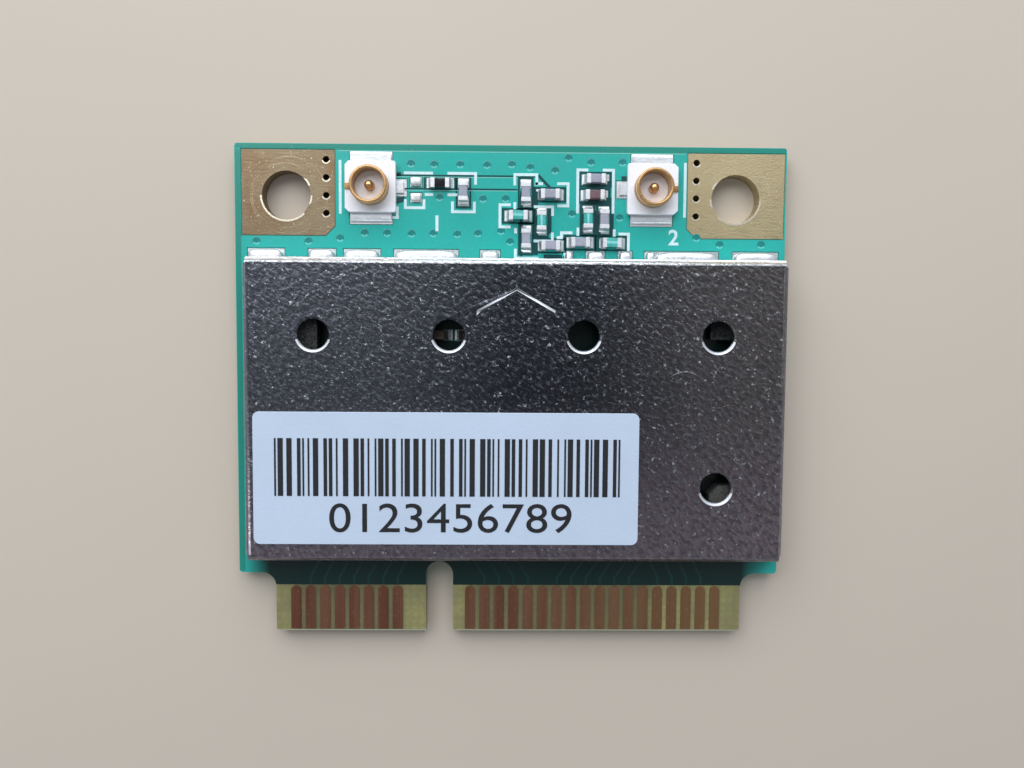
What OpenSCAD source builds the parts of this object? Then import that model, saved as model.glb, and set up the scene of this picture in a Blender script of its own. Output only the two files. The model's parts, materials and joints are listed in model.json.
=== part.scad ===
// Half-size mini card for a laptop: a wireless network card with two coaxial antenna receptacles.
// Millimetres. X runs along the edge connector, Y towards the antenna end, Z out of the component side.
// The origin is the middle of the card's outline on its flat underside.

/* [Board] */
// Width of the wide body of the board
board_w = 29.7; // [29:0.1:36]
// Length from the antenna end to the end of the edge tongue
board_l = 26.65; // [25.6:0.05:52]
// Thickness of the finished board with both solder masks
board_t = 1.0; // [0.8:0.05:1.6]
// Radius of the board's outer corners
board_corner_r = 0.2; // [0.1:0.05:0.6]
// Thickness of each solder mask
mask_t = 0.05; // [0.04:0.01:0.08]
// Depth of the copper lands below the mask's surface
land_recess = 0.01; // [0.005:0.005:0.02]
// Bare laminate left between a land and its mask window
mask_gap = 0.05; // [0.03:0.01:0.08]

/* [Edge connector] */
// Distance from one contact to the next
contact_pitch = 0.8; // [0.6:0.05:0.85]
// Width of one contact
contact_w = 0.56; // [0.3:0.02:0.6]
// Length of one contact
contact_l = 2.42; // [1.8:0.02:2.44]
// Contacts on the small tongue
small_contacts = 8; // [4:1:8]
// Contacts on the large tongue
large_contacts = 18; // [8:1:18]
// Distance from the tongue's end to the contacts
contact_end_gap = 0.19; // [0.16:0.01:0.3]
// Tongue edge to the centre of the first contact
tongue_lead = 1.09; // [0.7:0.01:1.4]
// Centre of the last contact to the far tongue edge
tongue_trail = 1.41; // [0.7:0.01:1.6]
// Centre of the last small-tongue contact to the key notch
key_lead = 1.56; // [0.6:0.02:1.8]
// Width of the key notch
key_w = 1.5; // [1:0.05:2]
// Key notch to the centre of the first large-tongue contact
key_trail = 0.94; // [0.6:0.02:1.4]
// Depth of the key notch from the tongue's end
key_depth = 4.0; // [3.6:0.1:4.4]
// Length of the tongue from the shoulders to its end
tongue_l = 3.35; // [3.2:0.05:3.6]
// Radius between a shoulder and the tongue
shoulder_r = 0.75; // [0.3:0.05:0.9]
// Length of the tongue that the solder mask leaves bare
bare_l = 2.68; // [2.66:0.02:2.9]
// Slope of the tongue's end along Y
bevel_l = 0.14; // [0.05:0.01:0.15]
// Slope of the tongue's end along Z
bevel_h = 0.22; // [0.1:0.02:0.3]

/* [Screw holes and ground lands] */
// Distance between the two screw holes
hole_spacing = 24.2; // [22.4:0.1:25.4]
// Finished diameter of a screw hole
hole_d = 2.6; // [2:0.05:2.8]
// Antenna end to the centre of a screw hole
hole_end_gap = 2.75; // [2.5:0.05:2.9]
// Copper plating on the walls of the holes
plating_t = 0.05; // [0.03:0.01:0.08]
// Left board edge to the left ground land
left_land_margin = 0.38; // [0.12:0.02:0.5]
// Right board edge to the right ground land
right_land_margin = 0.12; // [0.1:0.02:0.5]
// Antenna end to the ground lands
land_end_gap = 0.33; // [0.12:0.01:0.5]
// Length of a ground land along Y
land_l = 4.53; // [4.3:0.01:4.8]
// Screw hole centre to the inner edge of its land
land_reach = 2.6; // [2.4:0.05:2.8]
// Chamfer on the inner low corner of a ground land
land_chamfer = 0.5; // [0.2:0.05:0.7]
// Diameter of the small plated holes
via_d = 0.34; // [0.25:0.01:0.45]
// Small plated holes in a row
via_count = 4; // [2:1:4]
// Distance between the small plated holes
via_pitch = 0.95; // [0.75:0.01:1.05]
// Inner edge of the land to the small plated holes
via_inset = 0.46; // [0.35:0.01:0.6]
// Land's antenna end to the first small plated hole
via_end_gap = 0.5; // [0.4:0.02:0.7]

/* [Shield can] */
// Left board edge to the can
can_left_margin = 0.75; // [0.6:0.05:1.2]
// Right board edge to the can
can_right_margin = 0.2; // [0.16:0.02:0.8]
// Antenna end to the can
can_end_gap = 6.12; // [5.9:0.02:7]
// Shoulders to the can
can_shoulder_gap = 1.02; // [0.5:0.02:1.6]
// Height of the can over the board
can_h = 1.6; // [1.45:0.05:2.4]
// Thickness of the can's sheet
sheet_t = 0.2; // [0.15:0.01:0.25]
// Outer radius of the can's bends
bend_r = 0.38; // [0.3:0.01:0.6]
// Open seam beside each corner of the can
corner_seam = 0.18; // [0.08:0.02:0.28]
// Height of the gaps between the can's feet
foot_h = 0.25; // [0.15:0.05:0.45]
// Width of a foot on the three far sides
foot_w = 2.1; // [1.2:0.1:2.3]
// Distance between feet on the three far sides
foot_pitch = 3.1; // [2.7:0.1:4.5]
// Diameter of the holes in the can's top
can_hole_d = 1.6; // [1:0.05:2]
// Holes in the row near the antenna end
can_hole_count = 4; // [2:1:4]
// Distance between the holes in the row
can_hole_pitch = 7.12; // [5:0.02:7.4]
// Can's antenna side to the row of holes
can_row_gap = 4.06; // [3.6:0.02:4.4]
// Can's shoulder side to the single hole
can_single_gap = 4.03; // [3:0.01:5]
// Width of the scored chevron
chevron_w = 4.1; // [3:0.1:5]
// Height of the scored chevron
chevron_h = 1.18; // [0.8:0.02:1.3]
// Can's antenna side to the chevron's tip
chevron_gap = 1.62; // [1.2:0.02:1.8]
// Width of the scored line
score_w = 0.14; // [0.08:0.01:0.2]
// Depth of the scored line
score_d = 0.04; // [0.02:0.01:0.08]

/* [Label] */
// Width of the label
label_w = 20.4; // [18:0.1:22]
// Length of the label
label_l = 7.06; // [6.6:0.02:7.3]
// Thickness of the label
label_t = 0.08; // [0.05:0.01:0.12]
// Radius of the label's corners
label_corner_r = 0.35; // [0.2:0.05:0.8]
// Can's left side to the label
label_left_gap = 0.52; // [0.4:0.02:1]
// Can's shoulder side to the label
label_low_gap = 0.97; // [0.4:0.02:1.1]
// Bars in the printed pattern
bar_count = 50; // [10:1:60]
// Height of the printed bars
bar_h = 3.07; // [2:0.01:3.4]
// Label's left edge to the first bar
bar_left_gap = 1.13; // [0.6:0.01:1.6]
// Label's low edge to the bars
bar_low_gap = 2.6; // [2:0.05:3]
// Thickness of the print
print_t = 0.02; // [0.02:0.01:0.03]

/* [Antenna receptacles] */
// Screw hole centre to the receptacle's centre along X
antenna_inset = 4.55; // [4.4:0.05:4.8]
// Antenna end to the receptacle's centre
antenna_end_gap = 2.3; // [2:0.05:2.4]
// Side of the square insulator
insulator_w = 2.7; // [2.5:0.05:2.8]
// Height of the insulator
insulator_h = 0.4; // [0.35:0.05:0.5]
// Outer diameter of the shell's ring
ring_d = 2.0; // [1.8:0.05:2.2]
// Wall of the shell's ring
ring_wall = 0.18; // [0.14:0.01:0.22]
// Height of the ring over the seat
ring_h = 1.23; // [1.1:0.01:1.4]
// Depth of the V-shaped latching groove round the ring
groove_d = 0.06; // [0.03:0.01:0.08]
// Width of the latching groove
groove_w = 0.2; // [0.1:0.02:0.24]
// Insulator to the latching groove
groove_lift = 0.2; // [0.1:0.02:0.24]
// Slope on the ring's rim
rim_bevel = 0.05; // [0.02:0.01:0.08]
// Flare of the ring's foot inside the insulator
foot_flare = 0.08; // [0.04:0.01:0.09]
// Width of the shell's lug on the insulator
lug_w = 0.32; // [0.2:0.02:0.5]
// Thickness of the lug
lug_t = 0.08; // [0.05:0.01:0.12]
// Corner radius of the insulator
insulator_corner_r = 0.12; // [0.05:0.01:0.2]
// Cut across the insulator's two corners beside the lug
insulator_corner_cut = 0.21; // [0.1:0.01:0.3]
// Reach of the strap's lands past its tabs
antenna_land_reach = 0.25; // [0.22:0.01:0.3]
// Reach of the tail's land past the tail
tail_land_reach = 0.15; // [0.08:0.01:0.2]
// Length of the solder fillets at the strap's tabs
strap_fillet_l = 0.2; // [0.1:0.01:0.21]
// Width of the shell's strap under the insulator
strap_w = 2.2; // [2:0.05:2.4]
// Thickness of the strap
strap_t = 0.12; // [0.08:0.01:0.16]
// Reach of the strap's tabs past the insulator
strap_reach = 0.34; // [0.2:0.02:0.4]
// Diameter of the centre pin
pin_d = 0.5; // [0.4:0.02:0.6]
// Height of the centre pin over the seat
pin_h = 1.05; // [0.8:0.05:1.1]
// Width of the centre contact's tail
tail_w = 0.6; // [0.4:0.05:0.7]
// Reach of the tail past the insulator
tail_reach = 0.4; // [0.25:0.05:0.45]
// Air round the tail inside the strap
tail_gap = 0.2; // [0.15:0.01:0.25]

/* [Chip parts] */
// Grid on which the small parts and the can's solder are placed
grid = 0.05; // [0.048:0.001:0.052]
// Length of a chip part
chip_l = 1.0; // [0.9:0.02:1.02]
// Width of a chip part
chip_w = 0.5; // [0.4:0.02:0.54]
// Height of a capacitor or inductor
chip_h = 0.5; // [0.35:0.01:0.55]
// Height of a resistor
resistor_h = 0.35; // [0.3:0.01:0.45]
// Length of a tinned end
terminal_l = 0.22; // [0.16:0.01:0.3]
// Thickness of the tinned coat
terminal_wall = 0.02; // [0.01:0.01:0.04]
// Reach of a solder fillet along the board
fillet_l = 0.2; // [0.1:0.01:0.22]
// Height of a solder fillet
fillet_h = 0.26; // [0.15:0.01:0.28]
// Solder under each seated part
solder_t = 0.03; // [0.02:0.01:0.05]
// Edge of a land past the metal that is soldered to it
land_edge = 0.03; // [0.02:0.01:0.05]
// Length of a bare spare land
spare_l = 0.62; // [0.5:0.02:0.64]
// Width of a bare spare land
spare_w = 0.5; // [0.4:0.02:0.54]
// Reach of the can's solder over the board
joint_reach = 0.5; // [0.3:0.02:0.52]
// Height of the can's solder
joint_h = 0.45; // [0.3:0.05:0.6]

/* [Parts under the can] */
// Side of the radio chip
radio_w = 8.0; // [6:0.5:9]
// Height of the radio chip
radio_h = 0.85; // [0.6:0.05:0.95]
// Distance between the radio chip's leads
radio_pitch = 0.5; // [0.4:0.05:0.5]
// Side of a front-end module
front_end_w = 3.0; // [2:0.1:3]
// Height of a front-end module
front_end_h = 0.6; // [0.4:0.05:0.9]
// Distance between the front-end modules' leads
front_end_pitch = 0.55; // [0.4:0.05:0.6]
// Width of a flat lead
lead_w = 0.24; // [0.16:0.02:0.28]
// Length of a flat lead
lead_l = 0.4; // [0.3:0.05:0.5]
// Thickness of a flat lead
lead_t = 0.2; // [0.1:0.05:0.25]
// Mask left between the windows of two rows of leads at a chip's corner
corner_mask = 0.03; // [0.02:0.01:0.1]
// Flat leads to the pad under the chip
pad_gap = 0.6; // [0.3:0.05:0.8]
// Diameter of the dimple that marks a chip's first lead
mark_d = 0.5; // [0.3:0.05:0.6]
// Depth of the dimple
mark_depth = 0.05; // [0.03:0.01:0.08]
// Chip's edges to the middle of the dimple
mark_inset = 0.6; // [0.5:0.05:0.8]
// Length of the crystal
crystal_l = 3.2; // [2:0.1:3.2]
// Width of the crystal
crystal_w = 2.5; // [1.6:0.1:2.5]
// Height of the crystal's base
crystal_base_h = 0.5; // [0.3:0.05:0.6]
// Height of the crystal's lid
crystal_lid_h = 0.2; // [0.1:0.05:0.3]
// Rim of the base round the lid
crystal_rim = 0.15; // [0.1:0.05:0.3]
// Corner radius of the lid
crystal_lid_r = 0.2; // [0.1:0.05:0.4]
// Length of one of the crystal's four pads
crystal_pad_l = 1.1; // [0.6:0.05:1.2]
// Width of one of the crystal's four pads
crystal_pad_w = 0.85; // [0.5:0.05:0.9]
// Side of the memory chip
memory_w = 3.0; // [2.4:0.1:3]
// Legs on each side of the memory chip
memory_legs = 4; // [2:1:4]
// Distance between the memory chip's legs
memory_pitch = 0.65; // [0.5:0.05:0.7]
// Width of the regulator
regulator_w = 2.9; // [2.4:0.1:3]
// Depth of the regulator
regulator_d = 1.6; // [1.2:0.1:1.8]
// Legs on each side of the regulator
regulator_legs = 3; // [2:1:3]
// Distance between the regulator's legs
regulator_pitch = 0.95; // [0.8:0.05:1]
// Height of the memory chip and the regulator
legged_h = 0.95; // [0.8:0.05:1.05]
// Height at which a bent leg leaves its chip
leg_exit = 0.5; // [0.35:0.05:0.55]
// Reach of a bent leg past its chip
leg_reach = 0.9; // [0.7:0.05:1]
// Thickness of a bent leg
leg_t = 0.15; // [0.1:0.01:0.18]
// Width of a bent leg
leg_w = 0.35; // [0.2:0.05:0.4]
// Length of a bent leg's foot
leg_foot = 0.45; // [0.3:0.05:0.5]
// Length of a bent leg inside its chip
leg_root = 0.2; // [0.1:0.05:0.3]
// Slope of a legged chip's sides
mould_draft = 0.08; // [0.04:0.01:0.12]
// Height of a legged chip over the solder
mould_lift = 0.06; // [0.02:0.01:0.1]
// Side of the power inductor
coil_w = 3.0; // [2.4:0.1:3.2]
// Height of the power inductor
coil_h = 1.0; // [0.8:0.05:1.05]
// Chamfer on the power inductor's corners
coil_chamfer = 0.5; // [0.2:0.05:0.7]
// Width of the power inductor's terminals
coil_terminal_w = 1.2; // [0.8:0.1:1.6]
// Length of a terminal under the power inductor
coil_terminal_l = 0.7; // [0.5:0.05:0.9]
// Height of a terminal on the power inductor's side
coil_terminal_h = 0.5; // [0.3:0.05:0.8]
// Thickness of the power inductor's terminals
coil_terminal_t = 0.1; // [0.06:0.01:0.15]
// Length of a balun
balun_l = 1.6; // [1.2:0.1:1.8]
// Width of a balun
balun_w = 0.8; // [0.6:0.05:0.9]
// Height of a balun
balun_h = 0.6; // [0.4:0.05:0.8]
// Width of a balun's tinned band
balun_band_w = 0.26; // [0.2:0.01:0.3]
// Depth of a balun's tinned band
balun_band_d = 0.2; // [0.1:0.01:0.25]
// Can's left wall to the crystal and the memory chip
left_wall_gap = 0.6; // [0.4:0.05:0.9]
// Can's right wall to the power inductor and the right front-end module
right_wall_gap = 0.7; // [0.4:0.05:0.9]
// Can's shoulder wall to the crystal, the power inductor and the regulator's legs
low_wall_gap = 0.9; // [0.5:0.05:1.1]
// Can's antenna wall to the front-end modules and the memory chip's legs
high_wall_gap = 1.0; // [0.9:0.05:1.2]
// Can's shoulder wall to the radio chip
radio_low_gap = 1.6; // [1:0.05:1.7]
// Room between two large parts side by side
part_gap = 0.4; // [0.3:0.05:0.6]
// Middle of a column of small parts to the large part beside it
column_gap = 0.7; // [0.6:0.05:0.8]
// Distance between the small parts in a column or a row
column_pitch = 1.6; // [1.5:0.05:1.7]

/* [Hidden] */
$fn = 48;
e = 0.01;

// Outline of the board
half_w = board_w / 2;
half_l = board_l / 2;
shoulder_y = -half_l + tongue_l;
bare_y = -half_l + bare_l;
small_run = (small_contacts - 1) * contact_pitch;
large_run = (large_contacts - 1) * contact_pitch;
tongue_w = tongue_lead + small_run + key_lead + key_w + key_trail + large_run + tongue_trail;
first_contact_x = -tongue_w / 2 + tongue_lead;
key_x = first_contact_x + small_run + key_lead + key_w / 2;
first_large_x = key_x + key_w / 2 + key_trail;

// Levels of the board's layers and of what is soldered to it
core_low = mask_t;
core_high = board_t - mask_t;
land_t = mask_t - land_recess;
land_top = board_t - land_recess;
seat_z = land_top + solder_t;

// Ground lands
hole_x = hole_spacing / 2;
hole_y = half_l - hole_end_gap;
ground_y = half_l - land_end_gap;
land_inner_x = hole_x - land_reach;

// Shield can
can_left = -half_w + can_left_margin;
can_right = half_w - can_right_margin;
can_high = half_l - can_end_gap;
can_low = shoulder_y + can_shoulder_gap;
can_w = can_right - can_left;
can_l = can_high - can_low;
can_x = (can_left + can_right) / 2;
can_y = (can_high + can_low) / 2;
can_top = board_t + can_h;
wall_low = seat_z + foot_h;

// Solder spots on the can's antenna side in grid steps: middle from the can's end, and length
left_joints = grid * [[18, 38], [78, 28], [121, 38], [190, 68], [259, 20]];
right_joints = grid * [[28, 48], [103, 68], [143, 10], [170, 14], [202, 19], [231, 8]];

// Label
label_x = can_left + label_left_gap;
label_y = can_low + label_low_gap;
label_z = can_top;

// Antenna receptacles
antenna_y = half_l - antenna_end_gap;
left_antenna = [-hole_x + antenna_inset, antenna_y];
right_antenna = [hole_x - antenna_inset, antenna_y];

// Chip parts in view: centre, turn and height, in grid steps from the receptacles and the can's antenna side
group = [right_antenna[0], can_high];
feed_resistor_at = concat(left_antenna + grid * [74, 5], 0, resistor_h);
feed_capacitor_at = concat(left_antenna + grid * [99, -4], 90, chip_h);
spare_lands = [left_antenna + grid * [48, 6.5], left_antenna + grid * [48, -10.5]];
left_series_capacitor_at = concat(group + grid * [-136, 72], 90, chip_h);
left_dc_block_capacitor_at = concat(group + grid * [-110, 70.5], 0, chip_h);
left_shunt_inductor_at = concat(group + grid * [-144, 47.5], 0, chip_h);
left_series_inductor_at = concat(group + grid * [-119, 42], 90, chip_h);
left_shunt_capacitor_at = concat(group + grid * [-135.5, 23], 90, chip_h);
left_output_capacitor_at = concat(group + grid * [-109, 16], 0, chip_h);
right_output_capacitor_at = concat(group + grid * [-61, 87], 0, chip_h);
right_dc_block_capacitor_at = concat(group + grid * [-62, 70], 0, chip_h);
right_series_inductor_at = concat(group + grid * [-69, 44.5], 90, chip_h);
right_series_capacitor_at = concat(group + grid * [-51.5, 44], 90, chip_h);
right_shunt_capacitor_at = concat(group + grid * [-77, 19.5], 0, chip_h);
right_shunt_inductor_at = concat(group + grid * [-43, 19], 0, chip_h);
visible_chips = [
  feed_resistor_at, feed_capacitor_at,
  left_series_capacitor_at, left_dc_block_capacitor_at, left_shunt_inductor_at, left_series_inductor_at,
  left_shunt_capacitor_at, left_output_capacitor_at,
  right_output_capacitor_at, right_dc_block_capacitor_at, right_series_inductor_at,
  right_series_capacitor_at, right_shunt_capacitor_at, right_shunt_inductor_at
];

// Large parts under the can, placed from its walls and from each other
inner_left = can_left + sheet_t;
inner_right = can_right - sheet_t;
inner_low = can_low + sheet_t;
inner_high = can_high - sheet_t;
crystal_at = [inner_left + left_wall_gap + crystal_l / 2, inner_low + low_wall_gap + crystal_w / 2];
memory_at = [inner_left + left_wall_gap + memory_w / 2, inner_high - high_wall_gap - leg_reach - memory_w / 2];
left_column_x = inner_left + left_wall_gap + max(crystal_l, memory_w) + column_gap;
radio_at = [left_column_x + column_gap + radio_w / 2, inner_low + radio_low_gap + radio_w / 2];
coil_at = [inner_right - right_wall_gap - coil_w / 2, inner_low + low_wall_gap + coil_w / 2];
regulator_at = [
  coil_at[0] - coil_w / 2 - part_gap - regulator_w / 2,
  inner_low + low_wall_gap + leg_reach + regulator_d / 2
];
front_end_y = inner_high - high_wall_gap - front_end_w / 2;
right_front_end_x = inner_right - right_wall_gap - front_end_w / 2;
front_end_at = [[right_front_end_x - front_end_w - part_gap, front_end_y], [right_front_end_x, front_end_y]];
balun_at = [for (at = front_end_at) [at[0], (inner_low + inner_high) / 2]];

// Small parts under the can: columns between the radio chip and the right parts, rows over the radio chip
first_column_x = radio_at[0] + radio_w / 2 + column_gap;
last_column_x = min(front_end_at[0][0] - front_end_w / 2, regulator_at[0] - regulator_w / 2) - column_gap;
last_column = floor((last_column_x - first_column_x) / column_pitch);
columns = [for (i = [0:1:last_column]) first_column_x + i * column_pitch];
column_count = floor(radio_w / column_pitch);
column_ys = [for (i = [0:1:column_count - 1]) radio_at[1] + (i - (column_count - 1) / 2) * column_pitch];
top_row_y = inner_high - high_wall_gap;
radio_top = radio_at[1] + radio_w / 2;
row_count = floor((top_row_y - radio_top - column_gap) / column_pitch);
row_xs = [for (i = [0:1:column_count - 2]) radio_at[0] + (i - (column_count - 2) / 2) * column_pitch];
inner_capacitor_at = [
  for (y = column_ys) [left_column_x, y, 90, chip_h],
  for (x = columns, i = [0:1:column_count - 1]) if (i % 2 == 0) [x, column_ys[i], 90, chip_h],
  for (i = [0:1:row_count - 1], x = row_xs) [x, radio_top + column_gap + i * column_pitch, 0, chip_h]
];
inner_resistor_at = [
  for (x = columns) [x, top_row_y, 90, resistor_h],
  for (x = columns, i = [0:1:column_count - 1]) if (i % 2 == 1) [x, column_ys[i], 90, resistor_h]
];

// General shapes

module rounded_rectangle(w, l, r) {
  square([w - 2 * r, l], center = true);
  square([w, l - 2 * r], center = true);
  for (x = [-1, 1], y = [-1, 1])
    translate([x * (w / 2 - r), y * (l / 2 - r)]) circle(r);
}

module box_at(x, y, z, w, l, h) {
  translate([x - w / 2, y - l / 2, z]) cube([w, l, h]);
}

// Concave solder fillet: a wall at u = 0, rising from the board
function fillet_points(l, h, steps) =
  concat([[0, 0]], [for (i = [0:steps]) [l * (1 - sin(90 * i / steps)), h * (1 - cos(90 * i / steps))]]);

module solder_wedge(l, h, w) {
  rotate([90, 0, 0]) translate([0, 0, -w / 2]) linear_extrude(w) polygon(fillet_points(l, h, 5));
}

// Board

module shoulder_fillet(side) {
  translate([side * tongue_w / 2, shoulder_y]) difference() {
    translate([side > 0 ? 0 : -shoulder_r, -shoulder_r]) square([shoulder_r, shoulder_r + e]);
    translate([side * shoulder_r, -shoulder_r]) circle(shoulder_r);
  }
}

module board_outline() {
  difference() {
    union() {
      translate([0, (half_l + shoulder_y) / 2])
        rounded_rectangle(board_w, half_l - shoulder_y, board_corner_r);
      translate([0, -half_l + (tongue_l + 2) / 2])
        rounded_rectangle(tongue_w, tongue_l + 2, board_corner_r);
      for (side = [-1, 1]) shoulder_fillet(side);
    }
    translate([key_x - key_w / 2, -half_l - 1]) square([key_w, key_depth - key_w / 2 + 1]);
    translate([key_x, -half_l + key_depth - key_w / 2]) circle(d = key_w);
  }
}

function via_xs() = [-land_inner_x - via_inset, land_inner_x + via_inset];
function via_y(i) = ground_y - via_end_gap - i * via_pitch;

module hole_circles(grow) {
  for (side = [-1, 1]) translate([side * hole_x, hole_y]) circle(d = hole_d + 2 * grow);
  for (x = via_xs(), i = [0:via_count - 1]) translate([x, via_y(i)]) circle(d = via_d + 2 * grow);
}

module tongue_bevels() {
  for (side = [0, 1])
    translate([-tongue_w / 2 - 1, -half_l, (core_low + core_high) / 2]) mirror([0, 0, side])
      translate([0, 0, (core_high - core_low) / 2])
        rotate([90, 0, 90]) linear_extrude(tongue_w + 2)
          polygon([[-e, e], [bevel_l, e], [bevel_l, 0], [0, -bevel_h], [-e, -bevel_h]]);
}

module circuit_board() {
  color([0.58, 0.57, 0.36]) difference() {
    translate([0, 0, core_low]) linear_extrude(core_high - core_low) difference() {
      board_outline();
      hole_circles(plating_t);
    }
    tongue_bevels();
  }
}

// Plating on the walls of the screw holes and of the small holes beside them

module barrel_plating() {
  color([0.76, 0.66, 0.46]) translate([0, 0, mask_t - land_t])
    linear_extrude(land_top - mask_t + land_t) difference() {
      hole_circles(plating_t);
      hole_circles(0);
    }
}

// Ground lands on both sides: a rectangle round each screw hole, with one chamfered corner

module ground_land_outline(side, grow) {
  outer_x = half_w - (side < 0 ? left_land_margin : right_land_margin) + grow;
  inner_x = land_inner_x - grow;
  high_y = ground_y + grow;
  low_y = ground_y - land_l - grow;
  corner = land_chamfer + grow * (2 - sqrt(2));
  mirror([side < 0 ? 1 : 0, 0]) polygon([
    [outer_x, high_y], [inner_x, high_y], [inner_x, low_y + corner],
    [inner_x + corner, low_y], [outer_x, low_y]
  ]);
}

module ground_land(side) {
  color([0.76, 0.66, 0.46]) for (z = [mask_t - land_t, core_high])
    translate([0, 0, z]) linear_extrude(land_t) difference() {
      ground_land_outline(side, 0);
      hole_circles(plating_t);
    }
}

module left_ground_land() {
  ground_land(-1);
}

module right_ground_land() {
  ground_land(1);
}

// Edge contacts: long lands with one round end

module contact_outline() {
  translate([-contact_w / 2, 0]) square([contact_w, contact_l - contact_w / 2]);
  translate([0, contact_l - contact_w / 2]) circle(d = contact_w);
}

function contact_xs() = concat(
  [for (i = [0:small_contacts - 1]) first_contact_x + i * contact_pitch],
  [for (i = [0:large_contacts - 1]) first_large_x + i * contact_pitch]
);

module edge_contacts(z) {
  color([0.74, 0.55, 0.4]) translate([0, -half_l + contact_end_gap, z]) linear_extrude(land_t)
    for (x = contact_xs()) translate([x, 0]) contact_outline();
}

module top_edge_contacts() {
  edge_contacts(core_high);
}

module bottom_edge_contacts() {
  edge_contacts(mask_t - land_t);
}

// Soldering lands on the component side, each given with the mask gap added or not

module chip_lands(at, grow) {
  land_from = chip_l / 2 - terminal_l - land_edge;
  land_to = chip_l / 2 + fillet_l + land_edge;
  translate([at[0], at[1]]) rotate(at[2]) for (side = [-1, 1])
    translate([side * (land_from + land_to) / 2, 0])
      square([land_to - land_from + 2 * grow, chip_w + 2 * (land_edge + grow)], center = true);
}

module antenna_lands(at, turn, grow) {
  strap_land = [strap_w + 2 * (land_edge + grow), strap_reach + 2 * (antenna_land_reach + grow)];
  translate(at) rotate(turn) {
    for (side = [-1, 1])
      translate([0, side * (insulator_w + strap_reach) / 2]) square(strap_land, center = true);
    translate([insulator_w / 2 + tail_reach / 2, 0])
      square([tail_reach + 2 * (tail_land_reach + grow), tail_w + 2 * (tail_land_reach + grow)], center = true);
  }
}

function joint_centres() = concat(
  [for (j = left_joints) [can_left + j[0], j[1]]],
  [for (j = right_joints) [can_right - j[0], j[1]]]
);

function side_offsets(length) =
  let (count = floor((length - foot_w - 2 * bend_r) / foot_pitch))
  [for (i = [0:count]) (i - count / 2) * foot_pitch];

module can_foot_lands(grow) {
  for (j = joint_centres())
    translate([j[0], can_high + (joint_reach - sheet_t) / 2])
      square([j[1] + 2 * (land_edge + grow), joint_reach + sheet_t + 2 * (land_edge + grow)], center = true);
  for (x = side_offsets(can_w))
    translate([can_x + x, can_low + sheet_t / 2])
      square([foot_w + 2 * (land_edge + grow), sheet_t + 2 * (land_edge + grow)], center = true);
  for (side = [-1, 1], y = side_offsets(can_l))
    translate([can_x + side * (can_w / 2 - sheet_t / 2), can_y + y])
      square([sheet_t + 2 * (land_edge + grow), foot_w + 2 * (land_edge + grow)], center = true);
}

// Flat leads that fit on a side of a square chip, clear of its corners
function lead_count(w, pitch) =
  floor((w - 2 * (lead_l + lead_w / 2 + 2 * mask_gap + corner_mask)) / pitch) + 1;

module flat_lead_row(at, w, pitch, grow) {
  count = lead_count(w, pitch);
  for (turn = [0:90:270]) translate(at) rotate(turn) for (i = [0:count - 1])
    translate([(i - (count - 1) / 2) * pitch, -(w - lead_l) / 2])
      square([lead_w + 2 * grow, lead_l + 2 * grow], center = true);
}

module belly_pad(at, w, grow) {
  side = w - 2 * (lead_l + pad_gap);
  translate(at) square([side + 2 * grow, side + 2 * grow], center = true);
}

module lead_windows(at, w, pitch) {
  row_l = (lead_count(w, pitch) - 1) * pitch + lead_w;
  for (turn = [0:90:270]) translate(at) rotate(turn)
    translate([0, -(w - lead_l) / 2])
      square([row_l + 2 * mask_gap, lead_l + 2 * mask_gap], center = true);
}

module radio_feet(grow) {
  flat_lead_row(radio_at, radio_w, radio_pitch, grow);
  belly_pad(radio_at, radio_w, grow);
}

module front_end_feet(grow) {
  for (at = front_end_at) {
    flat_lead_row(at, front_end_w, front_end_pitch, grow);
    belly_pad(at, front_end_w, grow);
  }
}

module crystal_feet(grow) {
  for (x = [-1, 1], y = [-1, 1])
    translate(crystal_at + [x * (crystal_l - crystal_pad_l) / 2, y * (crystal_w - crystal_pad_w) / 2])
      square([crystal_pad_l + 2 * grow, crystal_pad_w + 2 * grow], center = true);
}

// Feet of bent legs on the two sides of a chip
module leg_feet(at, w, d, count, pitch, grow) {
  for (side = [-1, 1], i = [0:count - 1])
    translate(at + [(i - (count - 1) / 2) * pitch, side * (d / 2 + leg_reach - leg_foot / 2)])
      square([leg_w + 2 * grow, leg_foot + 2 * grow], center = true);
}

module coil_feet(grow) {
  for (side = [-1, 1])
    translate(coil_at + [side * (coil_w - coil_terminal_l) / 2, 0])
      square([coil_terminal_l + 2 * grow, coil_terminal_w + 2 * grow], center = true);
}

module balun_feet(grow) {
  for (at = balun_at, side = [-1, 1], x = [-1:1])
    translate(at + [x * balun_l / 3, side * (balun_w - balun_band_d) / 2])
      square([balun_band_w + 2 * grow, balun_band_d + 2 * grow], center = true);
}

module inner_feet(grow) {
  crystal_feet(grow);
  leg_feet(memory_at, memory_w, memory_w, memory_legs, memory_pitch, grow);
  leg_feet(regulator_at, regulator_w, regulator_d, regulator_legs, regulator_pitch, grow);
  coil_feet(grow);
  balun_feet(grow);
}

module shared_lands(grow) {
  for (at = visible_chips) chip_lands(at, grow);
  for (at = concat(inner_capacitor_at, inner_resistor_at)) chip_lands(at, grow);
  for (at = spare_lands) translate(at) square([spare_l + 2 * grow, spare_w + 2 * grow], center = true);
  antenna_lands(left_antenna, 0, grow);
  antenna_lands(right_antenna, 180, grow);
  can_foot_lands(grow);
  inner_feet(grow);
}

module top_solder_lands() {
  color([0.8, 0.8, 0.78]) translate([0, 0, core_high]) linear_extrude(land_t) {
    shared_lands(0);
    radio_feet(0);
    front_end_feet(0);
  }
}

// Solder masks

module masked_area() {
  intersection() {
    board_outline();
    translate([-half_w - 1, bare_y]) square([board_w + 2, board_l]);
  }
}

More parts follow.
